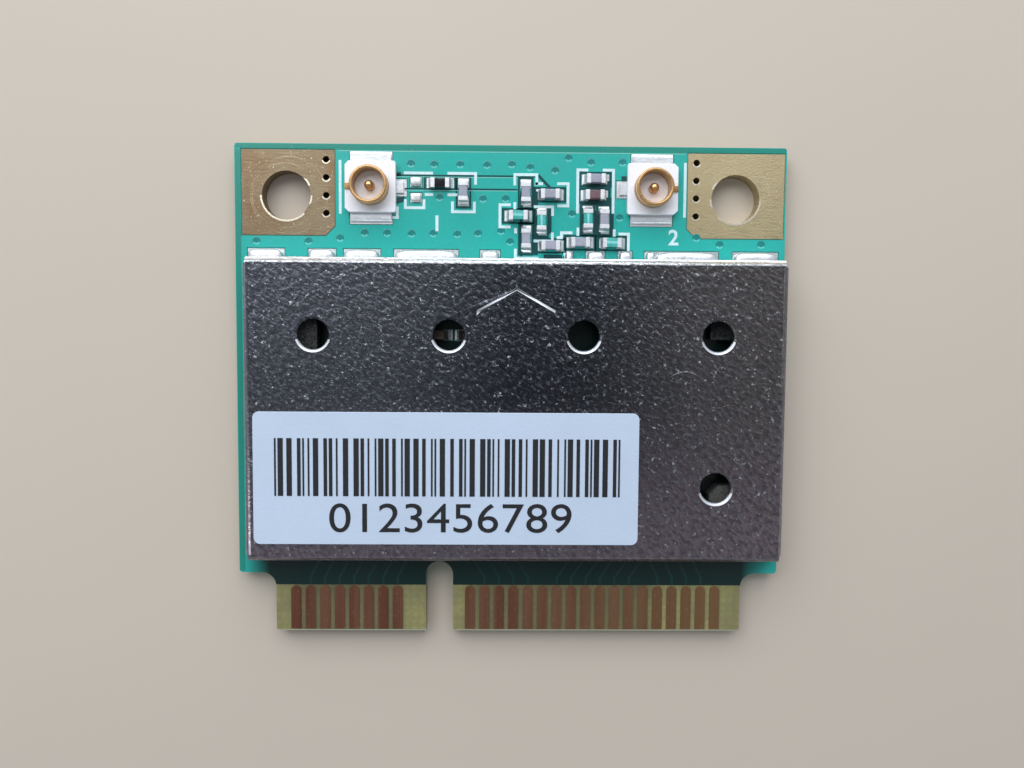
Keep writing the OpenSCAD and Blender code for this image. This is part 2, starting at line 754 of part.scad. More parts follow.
module bottom_solder_mask() {
  color([0.1, 0.5, 0.4]) linear_extrude(mask_t) difference() {
    masked_area();
    for (side = [-1, 1]) ground_land_outline(side, mask_gap);
  }
}

module top_solder_mask() {
  color([0.18, 0.66, 0.58]) translate([0, 0, core_high]) linear_extrude(mask_t) difference() {
    masked_area();
    for (side = [-1, 1]) ground_land_outline(side, mask_gap);
    shared_lands(mask_gap);
    lead_windows(radio_at, radio_w, radio_pitch);
    belly_pad(radio_at, radio_w, mask_gap);
    for (at = front_end_at) {
      lead_windows(at, front_end_w, front_end_pitch);
      belly_pad(at, front_end_w, mask_gap);
    }
  }
}

// Shield can: a flat top, four bent sides with feet, round holes and a scored chevron

module bent_side(length) {
  rotate([90, 0, 90]) translate([0, 0, -length / 2]) linear_extrude(length) {
    intersection() {
      difference() {
        circle(bend_r);
        circle(bend_r - sheet_t);
      }
      square(bend_r);
    }
    translate([bend_r - sheet_t, wall_low - can_top + bend_r])
      square([sheet_t, can_top - bend_r - wall_low]);
  }
}

module can_feet() {
  for (j = joint_centres()) box_at(j[0], can_high - sheet_t / 2, seat_z, j[1], sheet_t, foot_h);
  for (x = side_offsets(can_w))
    box_at(can_x + x, can_low + sheet_t / 2, seat_z, foot_w, sheet_t, foot_h);
  for (side = [-1, 1], y = side_offsets(can_l))
    box_at(can_x + side * (can_w - sheet_t) / 2, can_y + y, seat_z, sheet_t, foot_w, foot_h);
}

module chevron_line(side) {
  length = norm([chevron_w / 2, chevron_h]);
  translate([can_x, can_high - chevron_gap, can_top - score_d])
    rotate(-90 + side * atan2(chevron_w / 2, chevron_h))
      translate([0, -score_w / 2, 0]) cube([length, score_w, 1]);
}

module can_holes() {
  for (i = [0:can_hole_count - 1])
    translate([can_x + (i - (can_hole_count - 1) / 2) * can_hole_pitch, can_high - can_row_gap, board_t + 1])
      cylinder(d = can_hole_d, h = can_h);
  translate([can_x + (can_hole_count - 1) / 2 * can_hole_pitch, can_low + can_single_gap, board_t + 1])
    cylinder(d = can_hole_d, h = can_h);
}

module shield_can() {
  color([0.45, 0.44, 0.46]) difference() {
    union() {
      box_at(can_x, can_y, can_top - sheet_t, can_w - 2 * bend_r, can_l - 2 * bend_r, sheet_t);
      for (turn = [0, 180]) translate([can_x, can_y, can_top - bend_r]) rotate(turn)
        translate([0, can_l / 2 - bend_r, 0]) bent_side(can_w - 2 * corner_seam);
      for (turn = [90, 270]) translate([can_x, can_y, can_top - bend_r]) rotate(turn)
        translate([0, can_w / 2 - bend_r, 0]) bent_side(can_l - 2 * bend_r);
      can_feet();
    }
    can_holes();
    for (side = [-1, 1]) chevron_line(side);
  }
}

module shield_solder_joints() {
  color([0.85, 0.86, 0.88]) {
    for (j = joint_centres()) {
      box_at(j[0], can_high - sheet_t / 2, land_top, j[1], sheet_t, solder_t);
      translate([j[0], can_high, land_top]) rotate(90) solder_wedge(joint_reach, joint_h, j[1]);
    }
    for (x = side_offsets(can_w))
      box_at(can_x + x, can_low + sheet_t / 2, land_top, foot_w, sheet_t, solder_t);
    for (side = [-1, 1], y = side_offsets(can_l))
      box_at(can_x + side * (can_w - sheet_t) / 2, can_y + y, land_top, sheet_t, foot_w, solder_t);
  }
}

// Label with a plain rhythm of bars

module label() {
  color([0.8, 0.86, 0.93]) translate([label_x + label_w / 2, label_y + label_l / 2, label_z])
    linear_extrude(label_t) rounded_rectangle(label_w, label_l, label_corner_r);
}

function bar_units(i) = 1 + (i * i * 5 + floor(i / 3) * 7) % 3;
function gap_units(i) = 1 + (i * 4 + floor(i / 5) * 5) % 3;
function bar_start(i) = i == 0 ? 0 : bar_start(i - 1) + bar_units(i - 1) + gap_units(i - 1);

module label_print() {
  unit = (label_w - 2 * bar_left_gap + 0.5) / (bar_start(bar_count - 1) + bar_units(bar_count - 1) + 4);
  color([0.1, 0.1, 0.12]) for (i = [0:bar_count - 1])
    translate([label_x + bar_left_gap + unit * bar_start(i), label_y + bar_low_gap, label_z + label_t])
      cube([unit * bar_units(i), bar_h, print_t]);
}

// Antenna receptacles: the centre contact's tail leaves along +X

module strap_outline(grow) {
  difference() {
    square([strap_w + 2 * grow, insulator_w + 2 * strap_reach + 2 * grow], center = true);
    translate([-pin_d / 2 - tail_gap, -tail_w / 2 - tail_gap])
      square([strap_w + insulator_w, tail_w + 2 * tail_gap]);
  }
}

module ring_profile() {
  outer = ring_d / 2;
  inner = outer - ring_wall;
  groove_low = insulator_h + groove_lift;
  polygon([
    [inner, strap_t / 2], [outer + foot_flare, strap_t / 2], [outer, insulator_h], [outer, groove_low],
    [outer - groove_d, groove_low + groove_w / 2], [outer, groove_low + groove_w], [outer, ring_h - rim_bevel],
    [outer - rim_bevel, ring_h], [inner + rim_bevel, ring_h], [inner, ring_h - rim_bevel]
  ]);
}

module antenna_shell() {
  difference() {
    union() {
      linear_extrude(strap_t) strap_outline(0);
      rotate_extrude() ring_profile();
      translate([-insulator_w / 2, -lug_w / 2, insulator_h])
        cube([(insulator_w - ring_d + ring_wall) / 2, lug_w, lug_t]);
    }
    translate([0, -tail_w / 2 - tail_gap, -1])
      cube([insulator_w, tail_w + 2 * tail_gap, 1 + strap_t + tail_gap]);
  }
}

module pin_profile() {
  r = pin_d / 2;
  square([r, pin_h - r]);
  intersection() {
    translate([0, pin_h - r]) circle(r);
    square([r, pin_h]);
  }
}

module antenna_contact() {
  rotate_extrude() pin_profile();
  translate([0, -tail_w / 2, 0]) cube([insulator_w / 2 + tail_reach, tail_w, strap_t]);
}

module antenna_insulator() {
  difference() {
    linear_extrude(insulator_h) difference() {
      rounded_rectangle(insulator_w, insulator_w, insulator_corner_r);
      for (side = [-1, 1]) translate([-insulator_w / 2, side * insulator_w / 2])
        rotate(45) square(insulator_corner_cut * sqrt(2), center = true);
    }
    antenna_shell();
    antenna_contact();
  }
}

module antenna_solder() {
  for (side = [-1, 1]) {
    translate([0, side * (insulator_w / 2 + strap_reach / 2), land_top - seat_z])
      linear_extrude(solder_t) square([strap_w, strap_reach], center = true);
    translate([0, side * (insulator_w / 2 + strap_reach), land_top - seat_z])
      rotate(side * 90) solder_wedge(strap_fillet_l, solder_t + strap_t, strap_w);
  }
  translate([insulator_w / 2 + tail_reach / 2, 0, land_top - seat_z])
    linear_extrude(solder_t) square([tail_reach, tail_w], center = true);
}

module at_left_antenna() {
  translate([left_antenna[0], left_antenna[1], seat_z]) children();
}

module at_right_antenna() {
  translate([right_antenna[0], right_antenna[1], seat_z]) rotate(180) children();
}

module left_antenna_insulator() {
  color([0.9, 0.88, 0.84]) at_left_antenna() antenna_insulator();
}

module left_antenna_shell() {
  color([0.78, 0.64, 0.42]) at_left_antenna() antenna_shell();
}

module left_antenna_contact() {
  color([0.85, 0.7, 0.42]) at_left_antenna() antenna_contact();
}

module right_antenna_insulator() {
  color([0.9, 0.88, 0.84]) at_right_antenna() antenna_insulator();
}

module right_antenna_shell() {
  color([0.78, 0.64, 0.42]) at_right_antenna() antenna_shell();
}

module right_antenna_contact() {
  color([0.85, 0.7, 0.42]) at_right_antenna() antenna_contact();
}

module antenna_solder_joints() {
  color([0.85, 0.86, 0.88]) {
    at_left_antenna() antenna_solder();
    at_right_antenna() antenna_solder();
  }
}

// Chip parts: a ceramic block inside two tinned caps, on two solder fillets

module chip_block(at) {
  walls = 2 * terminal_wall;
  translate([at[0], at[1], seat_z]) rotate(at[2])
    box_at(0, 0, terminal_wall, chip_l - walls, chip_w - walls, at[3] - walls);
}

module chip_caps(at) {
  difference() {
    translate([at[0], at[1], seat_z]) rotate(at[2]) for (side = [-1, 1])
      box_at(side * (chip_l - terminal_l) / 2, 0, 0, terminal_l, chip_w, at[3]);
    chip_block(at);
  }
}

module chip_solder(at) {
  translate([at[0], at[1], land_top]) rotate(at[2]) for (turn = [0, 180]) rotate(turn) {
    box_at((chip_l - terminal_l) / 2, 0, 0, terminal_l, chip_w, solder_t);
    translate([chip_l / 2, 0, 0]) solder_wedge(fillet_l, fillet_h, chip_w);
  }
}

module feed_resistor() {
  color([0.12, 0.12, 0.14]) chip_block(feed_resistor_at);
}

module feed_capacitor() {
  color([0.55, 0.53, 0.5]) chip_block(feed_capacitor_at);
}

module left_series_capacitor() {
  color([0.5, 0.5, 0.5]) chip_block(left_series_capacitor_at);
}

module left_dc_block_capacitor() {
  color([0.5, 0.5, 0.5]) chip_block(left_dc_block_capacitor_at);
}

module left_shunt_inductor() {
  color([0.25, 0.6, 0.45]) chip_block(left_shunt_inductor_at);
}

module left_series_inductor() {
  color([0.25, 0.6, 0.55]) chip_block(left_series_inductor_at);
}

module left_shunt_capacitor() {
  color([0.5, 0.5, 0.5]) chip_block(left_shunt_capacitor_at);
}

module left_output_capacitor() {
  color([0.5, 0.5, 0.5]) chip_block(left_output_capacitor_at);
}

module right_output_capacitor() {
  color([0.5, 0.5, 0.5]) chip_block(right_output_capacitor_at);
}

module right_dc_block_capacitor() {
  color([0.42, 0.3, 0.32]) chip_block(right_dc_block_capacitor_at);
}

module right_series_inductor() {
  color([0.25, 0.6, 0.6]) chip_block(right_series_inductor_at);
}

module right_series_capacitor() {
  color([0.5, 0.5, 0.5]) chip_block(right_series_capacitor_at);
}

module right_shunt_capacitor() {
  color([0.5, 0.5, 0.5]) chip_block(right_shunt_capacitor_at);
}

module right_shunt_inductor() {
  color([0.25, 0.6, 0.55]) chip_block(right_shunt_inductor_at);
}

module chip_terminals() {
  color([0.82, 0.83, 0.85]) for (at = visible_chips) chip_caps(at);
}

module chip_solder_joints() {
  color([0.8, 0.81, 0.83]) for (at = visible_chips) chip_solder(at);
}

// Chips in flat packages with leads at their lower edges

module flat_leads(at, w, pitch) {
  translate([0, 0, seat_z]) {
    linear_extrude(lead_t) flat_lead_row(at, w, pitch, 0);
    linear_extrude(lead_t) belly_pad(at, w, 0);
  }
}

module flat_package(at, w, h, pitch) {
  difference() {
    box_at(at[0], at[1], seat_z, w, w, h);
    flat_leads(at, w, pitch);
    translate([at[0] - w / 2 + mark_inset, at[1] + w / 2 - mark_inset, seat_z + h - mark_depth])
      cylinder(d = mark_d, h = 1);
  }
}

module radio_chip() {
  color([0.13, 0.13, 0.14]) flat_package(radio_at, radio_w, radio_h, radio_pitch);
}

module radio_chip_leads() {
  color([0.8, 0.8, 0.8]) flat_leads(radio_at, radio_w, radio_pitch);
}

module left_front_end_module() {
  color([0.13, 0.13, 0.14]) flat_package(front_end_at[0], front_end_w, front_end_h, front_end_pitch);
}

module right_front_end_module() {
  color([0.13, 0.13, 0.14]) flat_package(front_end_at[1], front_end_w, front_end_h, front_end_pitch);
}

module front_end_leads() {
  color([0.8, 0.8, 0.8]) for (at = front_end_at) flat_leads(at, front_end_w, front_end_pitch);
}

// Crystal: a ceramic base under a welded metal lid

module crystal_base() {
  color([0.3, 0.28, 0.26]) box_at(crystal_at[0], crystal_at[1], seat_z, crystal_l, crystal_w, crystal_base_h);
}

module crystal_lid() {
  color([0.75, 0.75, 0.76]) translate([crystal_at[0], crystal_at[1], seat_z + crystal_base_h])
    linear_extrude(crystal_lid_h)
      rounded_rectangle(crystal_l - 2 * crystal_rim, crystal_w - 2 * crystal_rim, crystal_lid_r);
}

// Chips with bent legs

module bent_leg(at, x, side, d) {
  reach = d / 2 + leg_reach;
  translate([at[0] + x, at[1], seat_z]) mirror([0, side < 0 ? 1 : 0, 0])
    translate([-leg_w / 2, 0, 0]) rotate([90, 0, 90]) linear_extrude(leg_w) polygon([
      [d / 2 - leg_root, leg_exit], [d / 2 + leg_t, leg_exit], [reach - leg_foot, 0],
      [reach, 0], [reach, leg_t], [reach - leg_foot + leg_t, leg_t],
      [d / 2 + 2 * leg_t, leg_exit + leg_t], [d / 2 - leg_root, leg_exit + leg_t]
    ]);
}

module bent_legs(at, d, count, pitch) {
  for (side = [-1, 1], i = [0:count - 1]) bent_leg(at, (i - (count - 1) / 2) * pitch, side, d);
}

module legged_package(at, w, d, count, pitch) {
  foot_y = d / 2 - mould_draft;
  difference() {
    translate([at[0] - w / 2, at[1], seat_z]) rotate([90, 0, 90]) linear_extrude(w) polygon([
      [-foot_y, mould_lift], [foot_y, mould_lift], [d / 2, leg_exit], [d / 2, leg_exit + leg_t],
      [foot_y, legged_h], [-foot_y, legged_h], [-d / 2, leg_exit + leg_t], [-d / 2, leg_exit]
    ]);
    bent_legs(at, d, count, pitch);
  }
}

module memory_chip() {
  color([0.14, 0.14, 0.15]) legged_package(memory_at, memory_w, memory_w, memory_legs, memory_pitch);
}

module memory_chip_legs() {
  color([0.8, 0.8, 0.8]) bent_legs(memory_at, memory_w, memory_legs, memory_pitch);
}

module voltage_regulator() {
  color([0.14, 0.14, 0.15])
    legged_package(regulator_at, regulator_w, regulator_d, regulator_legs, regulator_pitch);
}

module voltage_regulator_legs() {
  color([0.8, 0.8, 0.8]) bent_legs(regulator_at, regulator_d, regulator_legs, regulator_pitch);
}

// Power inductor: a chamfered ferrite block in two bent terminals

module coil_terminal_shapes() {
  for (side = [-1, 1]) translate([coil_at[0], coil_at[1], seat_z]) mirror([side < 0 ? 1 : 0, 0, 0]) {
    translate([coil_w / 2 - coil_terminal_l, -coil_terminal_w / 2, 0])
      cube([coil_terminal_l, coil_terminal_w, coil_terminal_t]);
    translate([coil_w / 2 - coil_terminal_t, -coil_terminal_w / 2, 0])
      cube([coil_terminal_t, coil_terminal_w, coil_terminal_h]);
  }
}

module power_inductor() {
  h = coil_w / 2;
  c = h - coil_chamfer;
  color([0.25, 0.24, 0.24]) difference() {
    translate([coil_at[0], coil_at[1], seat_z]) linear_extrude(coil_h)
      polygon([[h, c], [c, h], [-c, h], [-h, c], [-h, -c], [-c, -h], [c, -h], [h, -c]]);
    coil_terminal_shapes();
  }
}

module power_inductor_terminals() {
  color([0.8, 0.8, 0.8]) coil_terminal_shapes();
}

// Baluns: three tinned bands on each long side

module balun_bands(at) {
  for (side = [-1, 1], x = [-1:1])
    translate([x * balun_l / 3, side * (balun_w - balun_band_d) / 2])
      box_at(at[0], at[1], seat_z, balun_band_w, balun_band_d, balun_h);
}

module balun(at) {
  difference() {
    box_at(at[0], at[1], seat_z, balun_l, balun_w, balun_h);
    balun_bands(at);
  }
}

module left_balun() {
  color([0.85, 0.84, 0.8]) balun(balun_at[0]);
}

module right_balun() {
  color([0.85, 0.84, 0.8]) balun(balun_at[1]);
}

module balun_terminals() {
  color([0.8, 0.8, 0.8]) for (at = balun_at) balun_bands(at);
}

// Small chips under the can

module inner_capacitors() {
  color([0.62, 0.52, 0.4]) for (at = inner_capacitor_at) chip_block(at);
}

module inner_resistors() {
  color([0.12, 0.12, 0.14]) for (at = inner_resistor_at) chip_block(at);
}

module inner_chip_terminals() {
  color([0.82, 0.83, 0.85]) for (at = concat(inner_capacitor_at, inner_resistor_at)) chip_caps(at);
}

module inner_solder_joints() {
  color([0.8, 0.81, 0.83]) {
    for (at = concat(inner_capacitor_at, inner_resistor_at)) chip_solder(at);
    translate([0, 0, land_top]) linear_extrude(solder_t) {
      radio_feet(0);
      front_end_feet(0);
      inner_feet(0);
    }
  }
}

circuit_board();
barrel_plating();
left_ground_land();
right_ground_land();
top_solder_mask();
bottom_solder_mask();
top_edge_contacts();
bottom_edge_contacts();
top_solder_lands();
shield_can();
shield_solder_joints();
label();
label_print();
left_antenna_insulator();
left_antenna_shell();
left_antenna_contact();
right_antenna_insulator();
right_antenna_shell();
right_antenna_contact();
antenna_solder_joints();
feed_resistor();
feed_capacitor();
left_series_capacitor();
left_dc_block_capacitor();
left_shunt_inductor();
left_series_inductor();
left_shunt_capacitor();
left_output_capacitor();
right_output_capacitor();
right_dc_block_capacitor();
right_series_inductor();
right_series_capacitor();
right_shunt_capacitor();
right_shunt_inductor();
chip_terminals();
chip_solder_joints();
radio_chip();
radio_chip_leads();
crystal_base();
crystal_lid();
memory_chip();
memory_chip_legs();
voltage_regulator();
voltage_regulator_legs();
power_inductor();
power_inductor_terminals();
left_front_end_module();
right_front_end_module();
front_end_leads();
left_balun();
right_balun();
balun_terminals();
inner_capacitors();
inner_resistors();
inner_chip_terminals();
inner_solder_joints();
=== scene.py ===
import json
import math

import bpy
from mathutils import Matrix, Vector

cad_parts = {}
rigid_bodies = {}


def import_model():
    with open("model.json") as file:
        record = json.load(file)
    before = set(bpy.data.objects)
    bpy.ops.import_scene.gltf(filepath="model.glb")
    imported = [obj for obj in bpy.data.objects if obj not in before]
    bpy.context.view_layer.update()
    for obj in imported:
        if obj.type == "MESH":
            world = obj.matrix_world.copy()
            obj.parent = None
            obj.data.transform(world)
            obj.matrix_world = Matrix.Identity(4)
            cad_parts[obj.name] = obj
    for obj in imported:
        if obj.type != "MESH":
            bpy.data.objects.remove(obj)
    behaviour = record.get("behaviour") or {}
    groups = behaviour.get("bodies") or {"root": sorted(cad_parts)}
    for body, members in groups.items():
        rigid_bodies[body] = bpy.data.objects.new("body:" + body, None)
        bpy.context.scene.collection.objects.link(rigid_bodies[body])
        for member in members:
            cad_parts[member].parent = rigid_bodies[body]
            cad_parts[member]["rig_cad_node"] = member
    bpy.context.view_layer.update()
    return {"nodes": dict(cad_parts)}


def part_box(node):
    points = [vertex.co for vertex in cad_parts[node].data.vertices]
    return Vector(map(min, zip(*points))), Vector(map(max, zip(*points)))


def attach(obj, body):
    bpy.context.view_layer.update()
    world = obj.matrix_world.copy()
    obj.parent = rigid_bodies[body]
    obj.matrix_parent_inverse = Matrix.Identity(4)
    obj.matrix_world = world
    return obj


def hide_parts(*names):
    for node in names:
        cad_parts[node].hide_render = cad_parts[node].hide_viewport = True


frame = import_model()

bl_info = {
    "name": "Mini card",
    "version": (1, 0, 0),
    "blender": (4, 5, 0),
    "location": "3D View > Sidebar > Mini card",
    "description": "Dresses the CAD model of a half-size mini card and sets its stage",
    "category": "Object",
}

# Pieces are modelled in millimetres, because Blender's tools merge points a few micrometres apart
MM = 0.001
# Distance in millimetres at which points are one, and the angle below which neighbouring faces are one
MERGE_DISTANCE = 0.0005
FLAT_ANGLE = math.radians(0.5)

# Chip parts in view
CHIPS = (
    "feed_resistor", "feed_capacitor",
    "left_series_capacitor", "left_dc_block_capacitor", "left_shunt_inductor", "left_series_inductor",
    "left_shunt_capacitor", "left_output_capacitor",
    "right_output_capacitor", "right_dc_block_capacitor", "right_series_inductor", "right_series_capacitor",
    "right_shunt_capacitor", "right_shunt_inductor",
)
# Middles of the two bare lands beside the left receptacle
SPARE_LANDS = ((-5.15, 11.35), (-5.15, 10.5))
# Places from the CAD model, in millimetres
SCREW_HOLE = (12.1, 10.575)
TONGUE_END = -13.1
CONTACT_PITCH = 0.8
CAN_BEND_Y = 6.86
CAN_MIDDLE_X = 0.275
CAN_HOLES = ((-10.405, 3.145), (-3.285, 3.145), (3.835, 3.145), (10.955, 3.145), (10.955, -4.925))
# Plated holes: middle, radius, and width of the pressed rim
PLATED_HOLES = tuple(
    [((side * SCREW_HOLE[0], SCREW_HOLE[1]), 1.3, 0.1) for side in (-1, 1)]
    + [((side * 9.96, 12.495 - 0.95 * i), 0.17, 0.07) for side in (-1, 1) for i in range(4)]
)


# Colours and sizes

def linear(hex_code):
    """Turns an sRGB hex colour into the linear values that Blender uses."""
    parts = [int(hex_code[i:i + 2], 16) / 255 for i in (1, 3, 5)]
    return tuple(c / 12.92 if c <= 0.04045 else ((c + 0.055) / 1.055) ** 2.4 for c in parts)


def colour_setting(name, hex_code, description):
    """A colour that the user can set."""
    return bpy.props.FloatVectorProperty(
        name=name, description=description, subtype="COLOR", size=3, min=0, max=1, default=linear(hex_code)
    )


def length_setting(name, millimetres, description):
    """A length that the user can set."""
    return bpy.props.FloatProperty(
        name=name, description=description, unit="LENGTH", precision=5, min=0, default=millimetres * MM
    )


class CardColours(bpy.types.PropertyGroup):
    mask: colour_setting("Solder mask", "#2EB3A8", "Mask over copper")
    mask_bare: colour_setting("Mask without copper", "#174F50", "Mask where the copper is etched away")
    laminate: colour_setting("Laminate", "#908D59", "Bare glass-epoxy of the tongue and the edges")
    gold: colour_setting("Gold", "#9A8A70", "Plating of the ground lands")
    contacts: colour_setting("Contacts", "#875646", "Worn plating of the edge contacts")
    tin: colour_setting("Tin", "#E6E9EC", "Solder and tinned ends")
    can: colour_setting("Shield can", "#6C6E76", "Sheet of the shield can")
    label: colour_setting("Label", "#C3D4E8", "Face of the label")
    ink: colour_setting("Label ink", "#17181E", "Print on the label")
    silkscreen: colour_setting("Silkscreen", "#D6F1F4", "Print on the board")
    resin: colour_setting("Receptacle resin", "#F7F9FF", "Insulator of the antenna receptacles")
    capacitor: colour_setting("Capacitor", "#9C9FAE", "Ceramic of most capacitors")
    inductor: colour_setting("Inductor", "#4FB5AE", "Coat of the inductors")
    resistor: colour_setting("Resistor", "#1B1A1F", "Glass over the resistor")
    floor: colour_setting("Floor", "#C9BFB1", "Plain pale floor")


class CardSizes(bpy.types.PropertyGroup):
    line: length_setting("Silkscreen line", 0.15, "Width of a printed line on the board")
    gap: length_setting("Etched gap", 0.09, "Width of a gap etched in the copper")
    print_height: length_setting("Silkscreen height", 0.012, "Thickness of the print on the board")
    can_edge: length_setting("Can edge", 0.03, "Rounding of the can's cut edges")
    hole_rim: length_setting("Hole rim", 0.15, "Rounding of the rims of the holes in the can")
    chip_edge: length_setting("Chip edge", 0.045, "Rounding of the chip parts' edges")
    digit_height: length_setting("Digit height", 1.55, "Height of the digits on the label")
    digit_run: length_setting("Digit run", 12.84, "Length of the row of digits on the label")


# Selecting and shaping

MESH_KINDS = ("vertices", "edges", "polygons")


def made():
    """The object that the last call made or chose."""
    return bpy.context.view_layer.objects.active


def only(*objects):
    """Selects these objects and nothing else."""
    bpy.ops.object.select_all(action="DESELECT")
    for item in objects:
        item.select_set(True)
    bpy.context.view_layer.objects.active = objects[0]


def pick(piece, kind, test):
    """Selects the vertices, edges or polygons of a mesh for which the test holds, and enters edit mode."""
    mesh = piece.data
    for group in (mesh.vertices, mesh.edges, mesh.polygons):
        group.foreach_set("select", [False] * len(group))
    for item in [item for item in getattr(mesh, kind) if test(item)]:
        item.select = True
        for index in ([] if kind == "vertices" else item.vertices):
            mesh.vertices[index].select = True
    bpy.context.tool_settings.mesh_select_mode = [kind == name for name in MESH_KINDS]
    only(piece)
    bpy.ops.object.mode_set(mode="EDIT")


def shape(piece, kind="polygons", test=lambda item: True, **operators):
    """Runs edit mode operators in order on what the test picks."""
    pick(piece, kind, test)
    for name, settings in operators.items():
        group = bpy.ops.transform if name == "translate" else bpy.ops.mesh
        getattr(group, name)(**settings)
    bpy.ops.object.mode_set(mode="OBJECT")


def modify(piece, kind, **settings):
    """Adds a modifier, sets it and applies it."""
    modifier = piece.modifiers.new(kind.title(), kind)
    for name, value in settings.items():
        setattr(modifier, name, value)
    only(piece)
    bpy.ops.object.modifier_apply(modifier=modifier.name)


def dressed_copy(name, node, edge=0.0, smooth=35):
    """A merged copy of a CAD node, in millimetres, with rounded edges."""
    only(frame["nodes"][node])
    bpy.ops.object.duplicate()
    piece = made()
    piece.name = piece.data.name = name
    del piece["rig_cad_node"]
    piece.parent = None
    piece.matrix_world = Matrix.Identity(4)
    piece.data.transform(Matrix.Scale(1 / MM, 4))
    piece.data.materials.clear()
    shape(piece, remove_doubles={"threshold": MERGE_DISTANCE}, dissolve_limited={"angle_limit": FLAT_ANGLE})
    if edge:
        modify(piece, "BEVEL", width=edge, segments=2, limit_method="ANGLE", angle_limit=math.radians(30))
    if smooth:
        smooth_faces(piece, smooth)
    return piece


def smooth_faces(piece, angle):
    """Shades a piece smooth below an angle, with its large faces kept flat."""
    only(piece)
    bpy.ops.object.shade_smooth_by_angle(angle=math.radians(angle))
    modify(piece, "WEIGHTED_NORMAL", keep_sharp=True)


def loose_boxes(piece):
    """Takes a mesh apart into its loose solids, and gives each with its box."""
    pick(piece, "polygons", lambda face: True)
    bpy.ops.mesh.separate(type="LOOSE")
    bpy.ops.object.mode_set(mode="OBJECT")
    parts = []
    for part in list(bpy.context.selected_objects):
        corners = [v.co for v in part.data.vertices]
        low = Vector([min(c[i] for c in corners) for i in range(3)])
        high = Vector([max(c[i] for c in corners) for i in range(3)])
        parts.append((part, low, high))
    return sorted(parts, key=lambda part: (part[1].x, part[1].y, part[1].z))


# Size in millimetres of the waves in the skin of frozen solder
SOLDER_WAVES = 0.45


def solder_dome(name, low, high, back=None, uneven=0.03):
    """A frozen drop of solder that fills a box from its floor up, cut flat at the floor and at its back."""
    size = high - low
    depth = size.y if back is None else 2 * (high.y - back)
    middle = Vector(((low.x + high.x) / 2, (low.y + high.y) / 2 if back is None else back, low.z))
    bpy.ops.mesh.primitive_cube_add(size=1, location=middle, scale=(size.x, depth, 2 * size.z))
    drop = made()
    drop.name = name
    bpy.ops.object.transform_apply(location=True, rotation=False, scale=True)
    shape(drop, subdivide={"number_cuts": 1})
    modify(drop, "SUBSURF", levels=3, render_levels=3)
    flow = bpy.data.textures.new(name, "CLOUDS")
    flow.noise_scale = SOLDER_WAVES
    modify(drop, "DISPLACE", texture=flow, texture_coords="LOCAL", strength=uneven, mid_level=0.6)
    cuts = [((0, 0, 1), low)] + ([] if back is None else [((0, 1, 0), Vector((0, back, 0)))])
    for normal, place in cuts:
        shape(drop, bisect={"plane_co": place, "plane_no": normal, "clear_inner": True, "use_fill": True})
    smooth_faces(drop, 60)
    return drop


def join(name, pieces):
    """Joins pieces to one of that name."""
    only(*pieces)
    if len(pieces) > 1:
        bpy.ops.object.join()
    piece = made()
    piece.name = piece.data.name = name
    return piece


def finish_piece(piece, material, replaces=(), accent=None, where=None):
    """Brings a piece down to its real size and hands it to the frame; where picks the faces of the accent."""
    piece.data.transform(piece.matrix_world)
    piece.matrix_world = Matrix.Identity(4)
    piece.data.materials.clear()
    piece.data.materials.append(material)
    if accent:
        piece.data.materials.append(accent)
        for face in piece.data.polygons:
            face.material_index = int(where(face))
    piece.data.transform(Matrix.Scale(MM, 4))
    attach(piece, "root")
    if replaces:
        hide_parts(*replaces)


def dress_nodes(material, *nodes):
    """Gives CAD nodes that stay their material."""
    for mesh in [frame["nodes"][node].data for node in nodes]:
        if not mesh.materials:
            mesh.materials.append(material)
        for index in range(len(mesh.materials)):
            mesh.materials[index] = material


def centre(node):
    """Middle of a CAD node seen from above, in millimetres."""
    low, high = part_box(node)
    return (low + high).xy / 2 / MM


def line_outline(points, width):
    """The outline of a line of even width through some points, with mitred corners and square ends."""
    points = [Vector(p) for p in points]
    normals = [(b - a).normalized().orthogonal() for a, b in zip(points, points[1:])]
    sides = []
    for i, point in enumerate(points):
        before, after = normals[max(i - 1, 0)], normals[min(i, len(normals) - 1)]
        mitre = (before + after) / (1 + before.dot(after)) * width / 2
        sides.append((point + mitre, point - mitre))
    return [s[0] for s in sides] + [s[1] for s in reversed(sides)]


def flat_piece(name, outlines, low, high, edge=0.0):
    """Closed outlines made into a plate between two levels, its upper and lower edges rounded."""
    curve = bpy.data.curves.new(name, "CURVE")
    curve.dimensions = "2D"
    curve.fill_mode = "BOTH"
    curve.extrude = (high - low) / 2 - edge
    curve.bevel_depth = edge
    curve.offset = -edge
    for outline in outlines:
        spline = curve.splines.new("POLY")
        spline.points.add(len(outline) - 1)
        for point, place in zip(spline.points, outline):
            point.co = (place[0], place[1], 0, 1)
        spline.use_cyclic_u = True
    piece = bpy.data.objects.new(name, curve)
    bpy.context.collection.objects.link(piece)
    only(piece)
    bpy.ops.object.convert(target="MESH")
    piece = made()
    piece.data.transform(Matrix.Translation((0, 0, (low + high) / 2)))
    shape(piece, remove_doubles={"threshold": MERGE_DISTANCE}, normals_make_consistent={"inside": False})
    return piece


